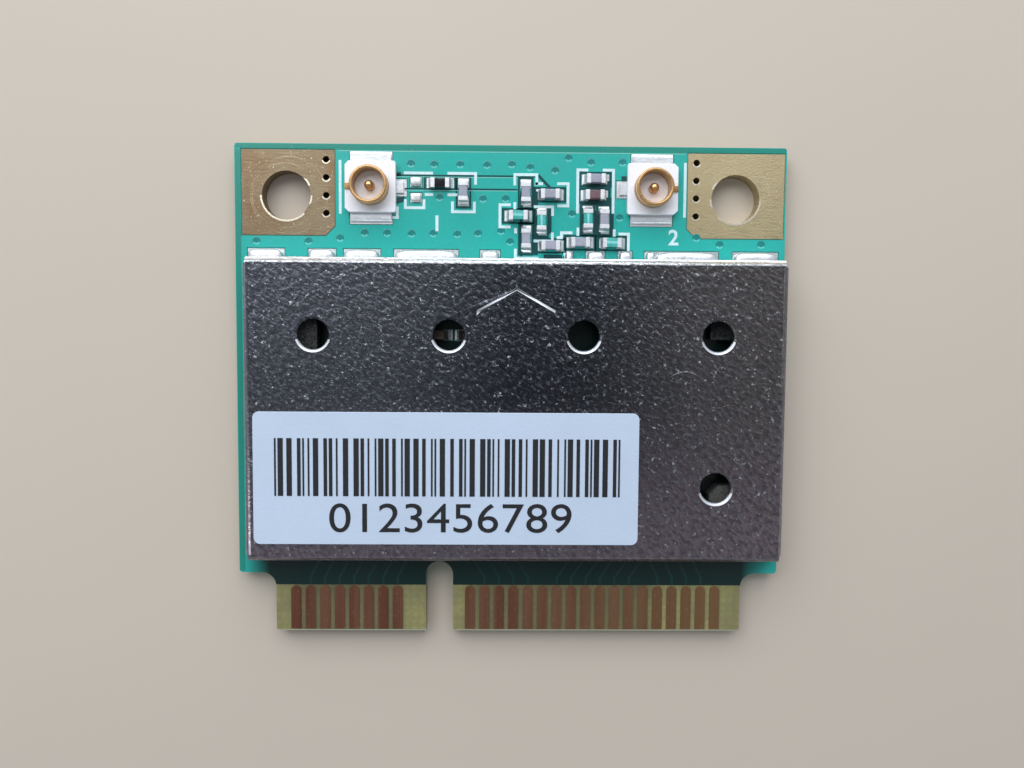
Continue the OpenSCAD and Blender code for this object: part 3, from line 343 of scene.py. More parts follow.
def digits(name, text, left, low, height, run, base, thickness, spacing=1.0, bold=0.0):
    """A row of plain digits as a mesh, fitted to a height and a length."""
    bpy.ops.object.text_add(location=(0, 0, 0))
    item = made()
    item.data.body = text
    item.data.extrude = thickness / 2
    item.data.offset = bold
    item.data.space_character = spacing
    bpy.ops.object.convert(target="MESH")
    piece = made()
    piece.name = piece.data.name = name
    corners = [v.co for v in piece.data.vertices]
    low_x, high_x = min(c.x for c in corners), max(c.x for c in corners)
    low_y, high_y = min(c.y for c in corners), max(c.y for c in corners)
    tall = height / (high_y - low_y)
    scale = Matrix.Diagonal((run / (high_x - low_x) if run else tall, tall, 1, 1))
    place = Matrix.Translation((left, low, base + thickness / 2))
    piece.data.transform(place @ scale @ Matrix.Translation((-low_x, -low_y, 0)))
    return piece


# Materials

def add(owner, kind, links=None, output=None, **settings):
    """Adds a node, set and linked, to the tree that owns a socket, and returns it or one of its outputs."""
    tree = owner.id_data
    node = tree.nodes.new(f"ShaderNode{kind}")
    for name, value in settings.items():
        setattr(node, name, value)
    for name, value in (links or {}).items():
        if isinstance(value, bpy.types.NodeSocket):
            tree.links.new(value, node.inputs[name])
        else:
            node.inputs[name].default_value = value
    return node if output is None else node.outputs[output]


def start_material(name, colour, roughness, metallic=0.0, **sockets):
    """A material with its even values set, and the place on the piece in millimetres."""
    material = bpy.data.materials.new(name)
    material.use_nodes = True
    tree = material.node_tree
    values = {"Base Color": (*colour, 1), "Roughness": roughness, "Metallic": metallic, **sockets}
    for socket, value in values.items():
        tree.nodes["Principled BSDF"].inputs[socket].default_value = value
    place = add(tree, "TexCoord", output="Object")
    return material, add(place, "Mapping", {"Vector": place, "Scale": (1 / MM,) * 3}, 0)


def grain(place, size, low=0.3, high=0.7, detail=2.0, drawn=(1, 1, 1), turn=0.0, shift=0.0):
    """Spots of a size in millimetres, drawn out along a turned axis; low and high set how sharp they are."""
    laid = {"Scale": drawn, "Rotation": (0, 0, math.radians(turn)), "Location": (shift, shift, shift)}
    vector = add(place, "Mapping", {"Vector": place, **laid}, 0, vector_type="TEXTURE")
    noise = {"Scale": 1 / size, "Detail": detail, "Roughness": 0.55}
    level = add(place, "TexNoise", {"Vector": vector, **noise}, 0)
    return add(place, "MapRange", {"Value": level, "From Min": low, "From Max": high}, 0)


def along(place, axis, start, end):
    """0 before the start and 1 after the end along an axis, in millimetres."""
    value = add(place, "SeparateXYZ", {0: place}, axis)
    return add(place, "MapRange", {"Value": value, "From Min": start, "From Max": end}, 0)


def product(*patterns):
    """Where all the patterns are 1."""
    level = patterns[0]
    for pattern in patterns[1:]:
        level = add(pattern, "Math", {0: level, 1: pattern}, 0, operation="MULTIPLY")
    return level


def patch(place, low, high, soft):
    """1 inside a rectangle seen from above and 0 outside it, with soft edges, in millimetres."""
    return product(
        along(place, "X", low[0] - soft, low[0]), along(place, "X", high[0] + soft, high[0]),
        along(place, "Y", low[1] - soft, low[1]), along(place, "Y", high[1] + soft, high[1]),
    )


def ring(place, middle, radius, width):
    """1 on a thin circle round an upright axis."""
    flat = add(place, "VectorMath", {0: place, 1: (1, 1, 0)}, 0, operation="MULTIPLY")
    away = add(place, "VectorMath", {0: flat, 1: (*middle, 0)}, "Value", operation="DISTANCE")
    return add(place, "Math", {0: away, 1: radius, 2: width / 2}, 0, operation="COMPARE")


# Scale of a wave pattern whose bands lie 0.42 mm apart
THREAD_SCALE = 0.75


def cloth(place, bend):
    """The print of woven glass, its bent threads 0.42 mm apart both ways."""
    wave = {"Vector": place, "Scale": THREAD_SCALE, "Distortion": bend}
    return product(*[add(place, "TexWave", wave, 1, bands_direction=axis) for axis in "XY"])


def coats(colour, *layers):
    """Lays coats over a colour; each is a pattern, the share of it that shows, and its own colour."""
    tone = (*colour, 1)
    for pattern, share, over in layers:
        factor = add(pattern, "Math", {0: pattern, 1: share}, 0, operation="MULTIPLY")
        tone = add(pattern, "Mix", {0: factor, 6: tone, 7: (*over, 1)}, 2, data_type="RGBA")
    return tone


def surface(material, tone, relief=None, depth=0.0, rough=None):
    """Links a colour, a relief with its depth in millimetres, and a roughness as a pattern and two levels."""
    tree = material.node_tree
    sockets = tree.nodes["Principled BSDF"].inputs
    tree.links.new(tone, sockets["Base Color"])
    if relief:
        raised = add(tree, "Bump", {"Height": relief, "Distance": depth * MM}, 0)
        tree.links.new(raised, sockets["Normal"])
    if rough:
        pattern, low, high = rough
        level = add(tree, "MapRange", {"Value": pattern, "To Min": low, "To Max": high}, 0)
        tree.links.new(level, sockets["Roughness"])
    return material


def lighter(colour, share):
    """A colour brought towards white."""
    return tuple(c + (1 - c) * share for c in colour)


def darker(colour, share):
    """A colour brought towards black."""
    return tuple(c * (1 - share) for c in colour)


# Patches of the board seen from above: low corner, high corner, and width of the soft edge, in millimetres
# The first two patches are painted shade: the can's shadow on the strip below it, and the dark under the can.
CAN_SHADOW_STRIP = ((-13.2, -12), (12.9, -9.05), 1.4)
SHADE_UNDER_CAN = ((-13.8, -8.6), (14.3, 6.9), 0.2)
LAND_WINDOWS = ((-14.7, -10.55), (14.7, 13.2), 0.05)
SMALL_TONGUE_MIDDLE = ((-11.4, -13.2), (-6.3, -10.3), 0.7)
LARGE_TONGUE_MIDDLE = ((-1.6, -13.2), (7.5, -10.3), 0.9)


def solder_mask(colour, name):
    # A glossy coat flooded over copper: soft highlights, and a faint print of the glass cloth beneath.
    # It is painted near black on the strip between the can and the contacts and under the can: the can's
    # painted shadow and painted shade.
    material, place = start_material(name, colour, 0.24, IOR=1.52)
    patches = grain(place, 2.8, detail=3)
    tone = coats(
        colour,
        (patches, 0.5, darker(colour, 0.2)),
        (grain(place, 0.16), 0.18, darker(colour, 0.35)),
        (patch(place, *CAN_SHADOW_STRIP), 0.96, linear("#060E0D")),
        (patch(place, *SHADE_UNDER_CAN), 0.97, linear("#030808")),
    )
    return surface(material, tone, cloth(place, 0.6), 0.0012, (patches, 0.2, 0.3))


def bare_laminate(colour, name):
    # Woven glass in clear epoxy: a yellow-green body with the pale cross of its threads, satin where routed.
    # It is browner between the contacts, and a skin of mask has crept over it in the windows round the lands.
    material, place = start_material(name, colour, 0.42, IOR=1.55)
    threads = cloth(place, 1.2)
    tone = coats(
        colour,
        (threads, 0.3, lighter(colour, 0.2)),
        (grain(place, 1.3, 0.35, 0.65, 4), 0.5, linear("#6B6650")),
        (grain(place, 0.2, 0.35, 0.7, 3), 0.3, darker(colour, 0.4)),
        (patch(place, *SMALL_TONGUE_MIDDLE), 0.6, linear("#4C4534")),
        (patch(place, *LARGE_TONGUE_MIDDLE), 0.6, linear("#4C4534")),
        (patch(place, *LAND_WINDOWS), 0.9, linear("#2C8F84")),
    )
    return surface(material, tone, threads, 0.002)


def pale_bevel(colour, name):
    # Glass fibres cut by the bevelling wheel scatter the light: a pale, dry edge with fine lines across.
    material, place = start_material(name, colour, 0.6, IOR=1.55)
    fibres = grain(place, 0.06, drawn=(1, 1, 8))
    return surface(material, coats(colour, (fibres, 0.5, darker(colour, 0.3))), fibres, 0.003)


# Arcs that a washer rubbed round a screw hole: how far beside the hole's middle, and the radius
WASHER_ARCS = ((0.1, 1.72), (-0.15, 2.05))


def gold_plating(colour, name):
    # Thin gold over rough nickel: satin, with short streaks, pale specks, brown stains and a washer's arcs.
    material, place = start_material(name, colour, 0.44, metallic=1.0)
    streaks = grain(place, 0.09, 0.3, 0.7, 3, drawn=(9, 1, 1))
    across = add(place, "Math", {0: add(place, "SeparateXYZ", {0: place}, "X")}, 0, operation="ABSOLUTE")
    upward = add(place, "SeparateXYZ", {0: place}, "Y")
    mirrored = add(place, "CombineXYZ", {"X": across, "Y": upward}, 0)
    rubbed = grain(place, 1.1, 0.45, 0.6, shift=4.0)
    arcs = []
    for beside, radius in WASHER_ARCS:
        arc = ring(mirrored, (SCREW_HOLE[0] + beside, SCREW_HOLE[1]), radius, 0.05)
        arcs.append((product(arc, rubbed), 0.22, linear("#E9DDBB")))
    tone = coats(
        colour,
        (streaks, 0.5, darker(colour, 0.4)),
        (grain(place, 1.6, 0.42, 0.72, 5), 0.6, linear("#7F5F42")),
        # The right land is painted lighter than the left: a painted reflection.
        (along(place, "X", -8, 13), 0.62, linear("#D9CBA0")),
        *arcs,
        (grain(place, 0.12, 0.66, 0.74), 0.6, linear("#EDE3C9")),
    )
    return surface(material, tone, grain(place, 0.1, detail=3), 0.004, (streaks, 0.36, 0.55))


def bright_gold(colour, name):
    # Gold plated on turned brass: warm and smooth, with fine turning marks, and painted browner low down as
    # painted shade.
    material, place = start_material(name, colour, 0.3, metallic=1.0)
    turned = grain(place, 0.05, drawn=(4, 4, 1))
    shade_low_down = along(place, "Z", 2.1, 1.5)
    tone = coats(colour, (shade_low_down, 0.35, linear("#9A6A3C")), (turned, 0.2, darker(colour, 0.4)))
    return surface(material, tone, turned, 0.001, (turned, 0.25, 0.38))


def worn_contacts(colour, name):
    # Copper under worn gold, scored lengthwise by many insertions: red-brown, and tanner to the right.
    material, place = start_material(name, colour, 0.5, metallic=1.0)
    grooves = grain(place, 0.07, 0.35, 0.7, 3, drawn=(1, 30, 1))
    tone = coats(
        colour,
        (along(place, "X", -2, 12), 1.0, linear("#A6845E")),
        (grain(place, 0.8, 0.35, 0.65, drawn=(1, 20, 1), shift=3.7), 0.45, linear("#B58E6C")),
        (grooves, 0.4, darker(colour, 0.5)),
        (grain(place, 0.14, 0.62, 0.74, shift=6.1), 0.4, linear("#C79F80")),
    )
    return surface(material, tone, grooves, 0.008, (grooves, 0.4, 0.6))


def tin(colour, name, rough=0.4):
    # Lead-free solder sets with a bright but slightly frosted skin, so its highlights break up.
    material, place = start_material(name, colour, rough, metallic=1.0)
    frost = grain(place, 0.14, 0.35, 0.7, 4)
    tone = coats(colour, (frost, 0.4, darker(colour, 0.3)))
    flow = grain(place, 0.22, detail=3)
    return surface(material, tone, flow, 0.004, (frost, rough - 0.08, rough + 0.12))


# Painted highlights on the bends of the can: axis, where each starts and ends, the share of its tint, and the
# tint
CAN_BEND_HIGHLIGHTS = (
    ("X", -13.74, -13.9, 0.45, "#B4BAC2"), ("X", 14.3, 14.45, 0.35, "#A8A8AC"),
    ("Y", -8.62, -8.72, 0.5, "#9A9DAA"), ("Y", CAN_BEND_Y, CAN_BEND_Y + 0.08, 1.0, "#F1F4F7"),
)
# Middle of the sheet, painted darkest as a painted reflection of the dim ceiling above it: low corner, high
# corner, width of the soft edge
CAN_DARK_MIDDLE = ((0, 0), (4, 5.5), 6)
# A scratch in the form of an arc: middle, radius and width, and where it starts and is full along Y
SCRATCH = ((9.2, 0.15), 1.15, 0.05)
SCRATCH_START = (1.0, 1.15)


def shield_sheet(colour, name):
    # Tinned steel that reflow has drawn into a fine orange peel, with painted shade in its hollows, painted
    # highlights on its hills and painted white glints.
    # It is bluish at the left and painted lighter and browner to the right and below, a painted reflection;
    # the bent edges carry painted highlights.
    material, place = start_material(name, colour, 0.32, metallic=1.0)
    hollows = grain(place, 0.24, 0.38, 0.6, 3, drawn=(1.5, 1, 1), turn=-40)
    hill_highlights = grain(place, 0.18, 0.54, 0.68, 2, drawn=(1.6, 1, 1), turn=-40, shift=5.3)
    scratch = product(ring(place, *SCRATCH), along(place, "Y", *SCRATCH_START))
    bends = [(along(place, *bend), share, linear(tint)) for *bend, share, tint in CAN_BEND_HIGHLIGHTS]
    tone = coats(
        colour,
        # Lighter and browner to the right and below and darkest in the middle: painted reflection of the
        # room.
        (along(place, "X", 1, 13), 0.75, linear("#857C77")),
        (along(place, "Y", 0, -9), 0.75, linear("#B5A1AC")),
        (patch(place, *CAN_DARK_MIDDLE), 0.62, linear("#1E2329")),
        # Dark hollows are painted shade; grey hills and white glints are painted highlights.
        (hollows, 0.58, linear("#202227")),
        (hill_highlights, 0.4, linear("#A4ADB9")),
        (grain(place, 0.2, 0.65, 0.72, shift=9.1), 0.75, linear("#EEF3F8")),
        (scratch, 0.6, linear("#D5DAE0")),
        # The bends are painted pale and the antenna side's bend white: painted highlights.
        *bends,
    )
    return surface(material, tone, hollows, 0.012, (hollows, 0.26, 0.4))


def highlight_metal(colour, name, rough=0.35):
    # Painted highlight on metal, for the score and for the rims' sides towards the contacts: a narrow bright
    # line with fine rubbed marks.
    material, place = start_material(name, colour, rough, metallic=1.0)
    rubbed = grain(place, 0.1, detail=3)
    return surface(material, coats(colour, (rubbed, 0.4, darker(colour, 0.35))), rubbed, 0.003)


def label_film(colour, name):
    # White coated film, calendered: even and silky, with a haze of fibre, greyer where fingers rubbed it.
    material, place = start_material(name, colour, 0.55, IOR=1.48)
    fibre = grain(place, 0.11, detail=3, drawn=(2.5, 1, 1))
    handled = grain(place, 4, 0.35, 0.7, 4)
    tone = coats(colour, (handled, 0.5, darker(colour, 0.12)), (fibre, 0.2, darker(colour, 0.2)))
    return surface(material, tone, fibre, 0.002)


def plain_ink(colour, name, rough=0.6):
    # A film of ink a hundredth thick: matt, with slightly uneven cover.
    material, place = start_material(name, colour, rough)
    cover = grain(place, 0.12, 0.3, 0.75, 3)
    return surface(material, coats(colour, (cover, 1.0, darker(colour, 0.18))), cover, 0.002)


def moulded(colour, name, rough=0.5, grit=0.17, contrast=0.12, gloss=0.5):
    # Moulded or fired body: fine even grain from the mould or the kiln, no clear reflections.
    material, place = start_material(name, colour, rough, **{"Specular IOR Level": gloss})
    grit = grain(place, grit, detail=4)
    tone = coats(lighter(colour, contrast / 3), (grit, 1.0, darker(colour, contrast)))
    return surface(material, tone, grit, 0.003)


def glazed(colour, name):
    # Glass or lacquer over a ceramic core: a deep colour under a clear glossy skin.
    material, place = start_material(name, colour, 0.2, IOR=1.52)
    depth = grain(place, 0.2, detail=3)
    return surface(material, coats(colour, (depth, 0.6, darker(colour, 0.35))), depth, 0.004)


def colours():
    """The colours that the user set."""
    return bpy.context.scene.card_colours


def sizes():
    """The sizes that the user set."""
    return bpy.context.scene.card_sizes


def shared(maker, colour, name):
    """The material of that name, made the first time it is asked for."""
    return bpy.data.materials.get(name) or maker(colour, name)


def mask_material():
    return shared(solder_mask, colours().mask, "solder mask, cured green epoxy")


def tin_material():
    return shared(tin, colours().tin, "tin solder, reflowed")


def gold_material():
    return shared(gold_plating, colours().gold, "gold plating, satin")


# Operators

# Thickness of the pressed rims of the plated holes, and the rounding of their edges
RIM_HEIGHT = 0.008
RIM_ROUNDING = 0.003


class CARD_OT_board(bpy.types.Operator):
    """Gives the bare board, its masks, lands and contacts their finishes"""
    bl_idname = "card.board"
    bl_label = "Board"

    def execute(self, context):
        board = dressed_copy("bare_board", "circuit_board", smooth=0)

        def bevelled(face):
            return 0.1 < abs(face.normal.z) < 0.99 and face.center.y < TONGUE_END

        laminate = bare_laminate(colours().laminate, "bare laminate, woven glass in epoxy")
        cut_edge = pale_bevel(linear("#F2F6DA"), "cut laminate edge")
        finish_piece(board, laminate, ["circuit_board"], cut_edge, bevelled)
        dress_nodes(mask_material(), "top_solder_mask", "bottom_solder_mask")
        dress_nodes(gold_material(), "left_ground_land", "right_ground_land")
        barrels = dressed_copy("hole_barrels", "barrel_plating", edge=0.03)
        finish_piece(barrels, gold_material(), ["barrel_plating"])
        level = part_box("left_ground_land")[1].z / MM
        rims = []
        for middle, radius, width in PLATED_HOLES:
            circles = [circle(middle, radius + width), circle(middle, radius + 0.005)]
            rims.append(flat_piece("rim", circles, level, level + RIM_HEIGHT, RIM_ROUNDING))

        # The faces of the rims towards the contacts get a painted highlight.
        def below_hole(face):
            places = [Vector(middle) for middle, radius, width in PLATED_HOLES]
            nearest = min(places, key=lambda place: (place - face.center.xy).length)
            return face.center.y < nearest.y - 0.05

        pressed = highlight_metal(linear("#FFF6DE"), "pressed rims, burnished gold")
        finish_piece(join("hole_rims", rims), gold_material(), (), pressed, below_hole)
        contacts = worn_contacts(colours().contacts, "edge contacts, worn gold over copper")
        dress_nodes(contacts, "top_edge_contacts", "bottom_edge_contacts")
        dress_nodes(tin_material(), "top_solder_lands")
        return {"FINISHED"}


# Faces of the can's hole rims lie within this distance of a hole's middle, and edges round them are short
CAN_RIM_REACH = 1.1
CAN_RIM_CHORD = 0.3
# Part of the can's top that holds the scored chevron: lower end, and reach to either side
CHEVRON_LOW = 4.2
CHEVRON_REACH = 2.4
# Area in square millimetres above which a face of the can is a flat side
FLAT_SIDE_AREA = 2


class CARD_OT_shield_can(bpy.types.Operator):
    """Rounds the shield can's cut edges and hole rims"""
    bl_idname = "card.shield_can"
    bl_label = "Shield can"

    def execute(self, context):
        piece = dressed_copy("can_cover", "shield_can", smooth=0)
        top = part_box("shield_can")[1].z / MM
        points = piece.data.vertices
        rim = sizes().hole_rim / MM

        def on_rim(edge):
            a, b = (points[i].co for i in edge.vertices)
            return max(abs(a.z - top), abs(b.z - top)) < 0.001 and 0 < (a - b).length < CAN_RIM_CHORD

        shape(piece, "edges", on_rim, bevel={"offset": rim, "segments": 3, "loop_slide": False})
        edge = sizes().can_edge / MM
        modify(piece, "BEVEL", width=edge, segments=2, limit_method="ANGLE", angle_limit=math.radians(50))
        shape(piece, "polygons", lambda face: face.area > FLAT_SIDE_AREA, region_to_loop={}, mark_sharp={})
        smooth_faces(piece, 35)

        # The score's groove and each hole rim's side towards the contacts get a painted highlight.
        def scored_or_punched(face):
            place = face.center.xy
            sunk = 0.002 < top - face.center.z < 0.2 and face.normal.z > 0.05
            score = CHEVRON_LOW < place.y < CAN_BEND_Y and abs(place.x - CAN_MIDDLE_X) < CHEVRON_REACH
            offs = [place - Vector(hole) for hole in CAN_HOLES]
            rim_below = any(off.length < CAN_RIM_REACH and off.y < -0.3 for off in offs)
            return sunk and (score or rim_below)

        sheet = shield_sheet(colours().can, "shield sheet, tinned steel with orange peel")
        pressed = highlight_metal(linear("#DDE1E6"), "scored and punched edges, burnished steel", 0.6)
        finish_piece(piece, sheet, ["shield_can"], pressed, scored_or_punched)
        return {"FINISHED"}


class CARD_OT_can_solder(bpy.types.Operator):
    """Models the flowed solder along the shield can's foot"""
    bl_idname = "card.can_solder"
    bl_label = "Can solder"

    def execute(self, context):
        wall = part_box("shield_can")[1].y / MM
        parts = []
        for part, low, high in loose_boxes(dressed_copy("can_solder", "shield_solder_joints", smooth=0)):
            if high.y > wall + 0.1:
                bpy.data.objects.remove(part)
                part = solder_dome("can_drop", Vector((low.x, wall, low.z)), high, back=wall)
            parts.append(part)
        finish_piece(join("can_solder", parts), tin_material(), ["shield_solder_joints"])
        return {"FINISHED"}


# Lower left corner of the row of digits from that of the label, and thickness of the ink, in millimetres
DIGITS_CORNER = (4.01, 0.66)
INK_HEIGHT = 0.018


class CARD_OT_label(bpy.types.Operator):
    """Models the label with its soft cut edge and its row of plain digits"""
    bl_idname = "card.label"
    bl_label = "Label"

    def execute(self, context):
        film = dressed_copy("label_film", "label", edge=0.03)
        finish_piece(film, label_film(colours().label, "label film, coated white"), ["label"])
        ink = plain_ink(colours().ink, "label ink, thermal transfer black")
        dress_nodes(ink, "label_print")
        low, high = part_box("label")
        left, foot = low.x / MM + DIGITS_CORNER[0], low.y / MM + DIGITS_CORNER[1]
        height, run = sizes().digit_height / MM, sizes().digit_run / MM
        top = high.z / MM
        row = digits("label_digits", "0123456789", left, foot, height, run, top, INK_HEIGHT, spacing=1.02)
        finish_piece(row, ink)
        return {"FINISHED"}


# Thickness of the flat plates that the receptacles are soldered by
RECEPTACLE_PLATE = 0.12


class CARD_OT_receptacles(bpy.types.Operator):
    """Models the two antenna receptacles with rounded edges"""
    bl_idname = "card.receptacles"
    bl_label = "Antenna receptacles"

    def execute(self, context):
        resin = moulded(colours().resin, "receptacle resin, moulded white", 0.4, 0.2, 0.06)
        gold = bright_gold(linear("#DDB27C"), "receptacle plating, bright gold on brass")
        for side in ("left", "right"):
            plate_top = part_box(f"{side}_antenna_shell")[0].z / MM + RECEPTACLE_PLATE

            def wetted(face):
                return face.center.z < plate_top + 0.01

            piece = dressed_copy(f"{side}_receptacle_body", f"{side}_antenna_insulator", edge=0.03)
            finish_piece(piece, resin, [f"{side}_antenna_insulator"])
            for part, node in (("ring", "shell"), ("pin", "contact")):
                piece = dressed_copy(f"{side}_receptacle_{part}", f"{side}_antenna_{node}", edge=0.015)
                finish_piece(piece, gold, [f"{side}_antenna_{node}"], tin_material(), wetted)
        piece = dressed_copy("receptacle_solder", "antenna_solder_joints", edge=0.02, smooth=50)
        finish_piece(piece, tin_material(), ["antenna_solder_joints"])
        return {"FINISHED"}


# Solder on a spare land: half its length, half its width, and its height
SPARE_DROP = (0.3, 0.24, 0.14)
# Width of the border round the painted highlight on an inductor
BAND_BORDER = 0.13


class CARD_OT_chips(bpy.types.Operator):
    """Models the chip parts in view, with rounded bodies, ends and solder"""
    bl_idname = "card.chips"
    bl_label = "Chip parts"

    def execute(self, context):
        kinds = {
            "resistor": ("resistor_glass", glazed(colours().resistor, "resistor glass, black")),
            "capacitor": ("chip_ceramic", moulded(colours().capacitor, "capacitor ceramic, fired grey")),
            "inductor": ("inductor_coat", glazed(colours().inductor, "inductor coat, green lacquer")),
        }
        # The light band on each inductor's top is a painted highlight of its glossy coat.
        band = glazed(linear("#8CE0DC"), "inductor coat, light band over the winding")
        edge = sizes().chip_edge / MM
        for node in CHIPS:
            slot, material = kinds[node.split("_")[-1]]
            if node == "right_dc_block_capacitor":
                material = moulded(linear("#6B4A52"), "capacitor ceramic, fired purple-brown")
            piece = dressed_copy(f"{node}_body", node, edge=edge)
            middle = centre(node)
            accent = band if slot == "inductor_coat" else None
            if accent:
                shape(piece, "polygons", lambda face: face.normal.z > 0.99 and face.area > 0.05,
                      inset={"thickness": BAND_BORDER, "depth": 0})
            finish_piece(piece, material, [node], accent,
                         lambda face: face.normal.z > 0.99 and (face.center.xy - middle).length < 0.1)
        piece = dressed_copy("chip_end_caps", "chip_terminals", edge=edge)
        matt_tin = tin(colours().tin, "chip end caps, matt plated tin", 0.55)
        finish_piece(piece, matt_tin, ["chip_terminals"])
        piece = dressed_copy("chip_solder", "chip_solder_joints", edge=0.02, smooth=60)
        finish_piece(piece, tin_material(), ["chip_solder_joints"])
        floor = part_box("top_solder_lands")[1].z / MM
        half_x, half_y, height = SPARE_DROP
        drops = []
        for x, y in SPARE_LANDS:
            low = Vector((x - half_x, y - half_y, floor))
            high = Vector((x + half_x, y + half_y, floor + height))
            drops.append(solder_dome("spare_drop", low, high, uneven=0.02))
        finish_piece(join("spare_land_solder", drops), tin_material())
        return {"FINISHED"}


# How far each detail stands above the mask, in millimetres, no two that overlap alike
GAP_HEIGHT = 0.003
BAND_HEIGHT = 0.0025
BORDER_HEIGHT = 0.002
RIDGE_HEIGHT = 0.006
# Half length and half width of the ring etched round a chip part, inside its gap
CHIP_RING = (0.78, 0.33)
# Levels along Y at which a fan-out trace starts, leans, runs straight again and ends, and its width
TRACE_LEVELS = (-10.6, -10.25, -9.2, -8.8)
TRACE_WIDTH = 0.13
# Painted highlight along the copper's edge: its width by the antennas and by a gap, and its place as a share
# of the gap
LINE_BY_ANTENNAS = 0.05
LINE_BY_GAP = 0.04
LINE_SHARE = 0.85
# Radius of a covered hole, and the steps from its edge inwards, each with its lift
COVERED_RADIUS = 0.22
COVERED_STEPS = ((0.05, 0.01), (0.03, -0.005), (0.05, -0.004))
# Part of its rim with a painted highlight: distance from the middle, and how far towards the contacts
LIT_RADIUS = 0.15
LIT_DROP = 0.09


class CARD_OT_mask_details(bpy.types.Operator):
    """Models what shows through the solder mask: etched gaps, covered holes and the edge of the copper"""
    bl_idname = "card.mask_details"
    bl_label = "Mask details"

    def execute(self, context):
        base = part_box("top_solder_mask")[1].z / MM
        gap = sizes().gap / MM
        bare = solder_mask(colours().mask_bare, "solder mask over bare laminate, dark green epoxy")
        pieces = []
        for node in CHIPS:
            middle = centre(node)
            low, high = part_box(node)
            lies_along_x = (high - low).x > (high - low).y
            length, width = CHIP_RING
            frames = [rectangle(middle, *(size if lies_along_x else reversed(size)))
                      for size in ((length + 0.1, width + gap), (length, width))]
            pieces.append(flat_piece("gap", frames, base, base + GAP_HEIGHT))
        lines = [line_outline(line, gap) for line in ETCHED_LINES]
        lines += [line_outline(line, width) for width, line in ETCHED_BANDS]
        pieces += [flat_piece("gap", [line], base, base + BAND_HEIGHT) for line in lines]
        finish_piece(join("etched_gaps", pieces), bare)
        borders = [flat_piece("border", [area], base, base + BORDER_HEIGHT) for area in ETCHED_AREAS]
        border = solder_mask(linear("#289080"), "solder mask over the laminate's border, green epoxy")
        finish_piece(join("etched_borders", borders), border)

        traces = []
        for first, count, lean in FAN_OUT:
            for i in range(count):
                x = first + CONTACT_PITCH * i
                line = list(zip((x, x, x + lean, x + lean), TRACE_LEVELS))
                traces.append(flat_piece("trace", [line_outline(line, TRACE_WIDTH)], base, base + GAP_HEIGHT))
        # The traces lie in the can's shadow, so their mask is painted dark: a painted shadow.
        coated = glazed(linear("#163A37"), "solder mask over a trace, green epoxy")
        finish_piece(join("fan_out_traces", traces), coated)

        edges = [line_outline(COPPER_EDGE, LINE_BY_ANTENNAS)]
        for line in ETCHED_LINES:
            edges.append(line_outline([(x, y - gap * LINE_SHARE) for x, y in line], LINE_BY_GAP))
        ridge = flat_piece("copper_ridge", edges, base, base + RIDGE_HEIGHT)
        # The pale line along the antenna end and on one side of each gap is a painted highlight on the
        # copper's edge.
        thin = solder_mask(linear("#7FD0C4"), "solder mask over a copper edge, thin green epoxy")
        finish_piece(ridge, thin)

        bpy.ops.object.select_all(action="DESELECT")
        bpy.ops.mesh.primitive_circle_add(
            vertices=24, radius=COVERED_RADIUS, fill_type="NGON", location=(0, 0, base)
        )
        first = made()
        bpy.ops.object.transform_apply(location=True, rotation=False, scale=False)
        for inset, lift in COVERED_STEPS:
            shape(first, "polygons", lambda face: len(face.vertices) > 4,
                  inset={"thickness": inset, "depth": 0}, translate={"value": (0, 0, lift)})
        smooth_faces(first, 60)
        copies = []
        for x, y in COVERED_HOLES:
            only(first)
            bpy.ops.object.duplicate()
            copy = made()
            copy.data.transform(Matrix.Translation((x, y, 0)))
            copies.append(copy)
        bpy.data.objects.remove(first)

        # Faces of the rim towards the contacts get a painted highlight.
        def near_rim(face):
            hole = min(COVERED_HOLES, key=lambda place: (face.center.xy - Vector(place)).length)
            off = face.center.xy - Vector(hole)
            return off.length > LIT_RADIUS and off.y < -LIT_DROP

        sunk = solder_mask(linear("#1E8681"), "solder mask sunk over a hole, green epoxy")
        hole_rim_highlight = solder_mask(linear("#6CD2CB"), "solder mask at the rim of a covered hole, green epoxy")
        finish_piece(join("covered_holes", copies), sunk, accent=hole_rim_highlight, where=near_rim)
        return {"FINISHED"}


def circle(middle, radius, count=48):
    """Corners of a circle."""
    turns = [2 * math.pi * i / count for i in range(count)]
    return [(middle[0] + radius * math.cos(turn), middle[1] + radius * math.sin(turn)) for turn in turns]


def rectangle(middle, half_x, half_y):
    """Corners of a rectangle."""
    corners = ((-1, -1), (1, -1), (1, 1), (-1, 1))
    return [(middle[0] + x * half_x, middle[1] + y * half_y) for x, y in corners]


# Gaps etched in the copper on both sides of the feed line
ETCHED_LINES = ([(-6.2, 11.69), (0.3, 11.69)], [(-5.75, 10.98), (0.3, 10.98)])
# Wider stretches without copper beside the columns of chips, each with its width
ETCHED_BANDS = (
    (0.16, [(0.52, 10.9), (0.52, 7.4)]), (0.26, [(1.3, 10.9), (1.3, 7.5)]),
    (0.16, [(2.08, 10.1), (2.08, 8.65)]), (0.16, [(3.8, 10.05), (3.8, 8.5)]),
    (0.32, [(4.66, 9.9), (4.66, 7.7)]), (0.16, [(5.44, 10.05), (5.44, 8.55)]),
    (0.28, [(3.85, 11.35), (5.45, 11.35)]), (0.42, [(4.1, 10.4), (5.45, 10.4)]),
    (0.16, [(0.5, 11.72), (1.45, 11.72), (2.1, 11.05)]), (0.26, [(5.9, 11.62), (6.5, 11.62)]),
    (0.2, [(-6.2, 11.75), (-5.95, 11.75)]), (0.3, [(-6.25, 10.3), (-5.75, 10.45)]),
    (0.3, [(1.75, 7.38), (2.75, 7.38)]),
)
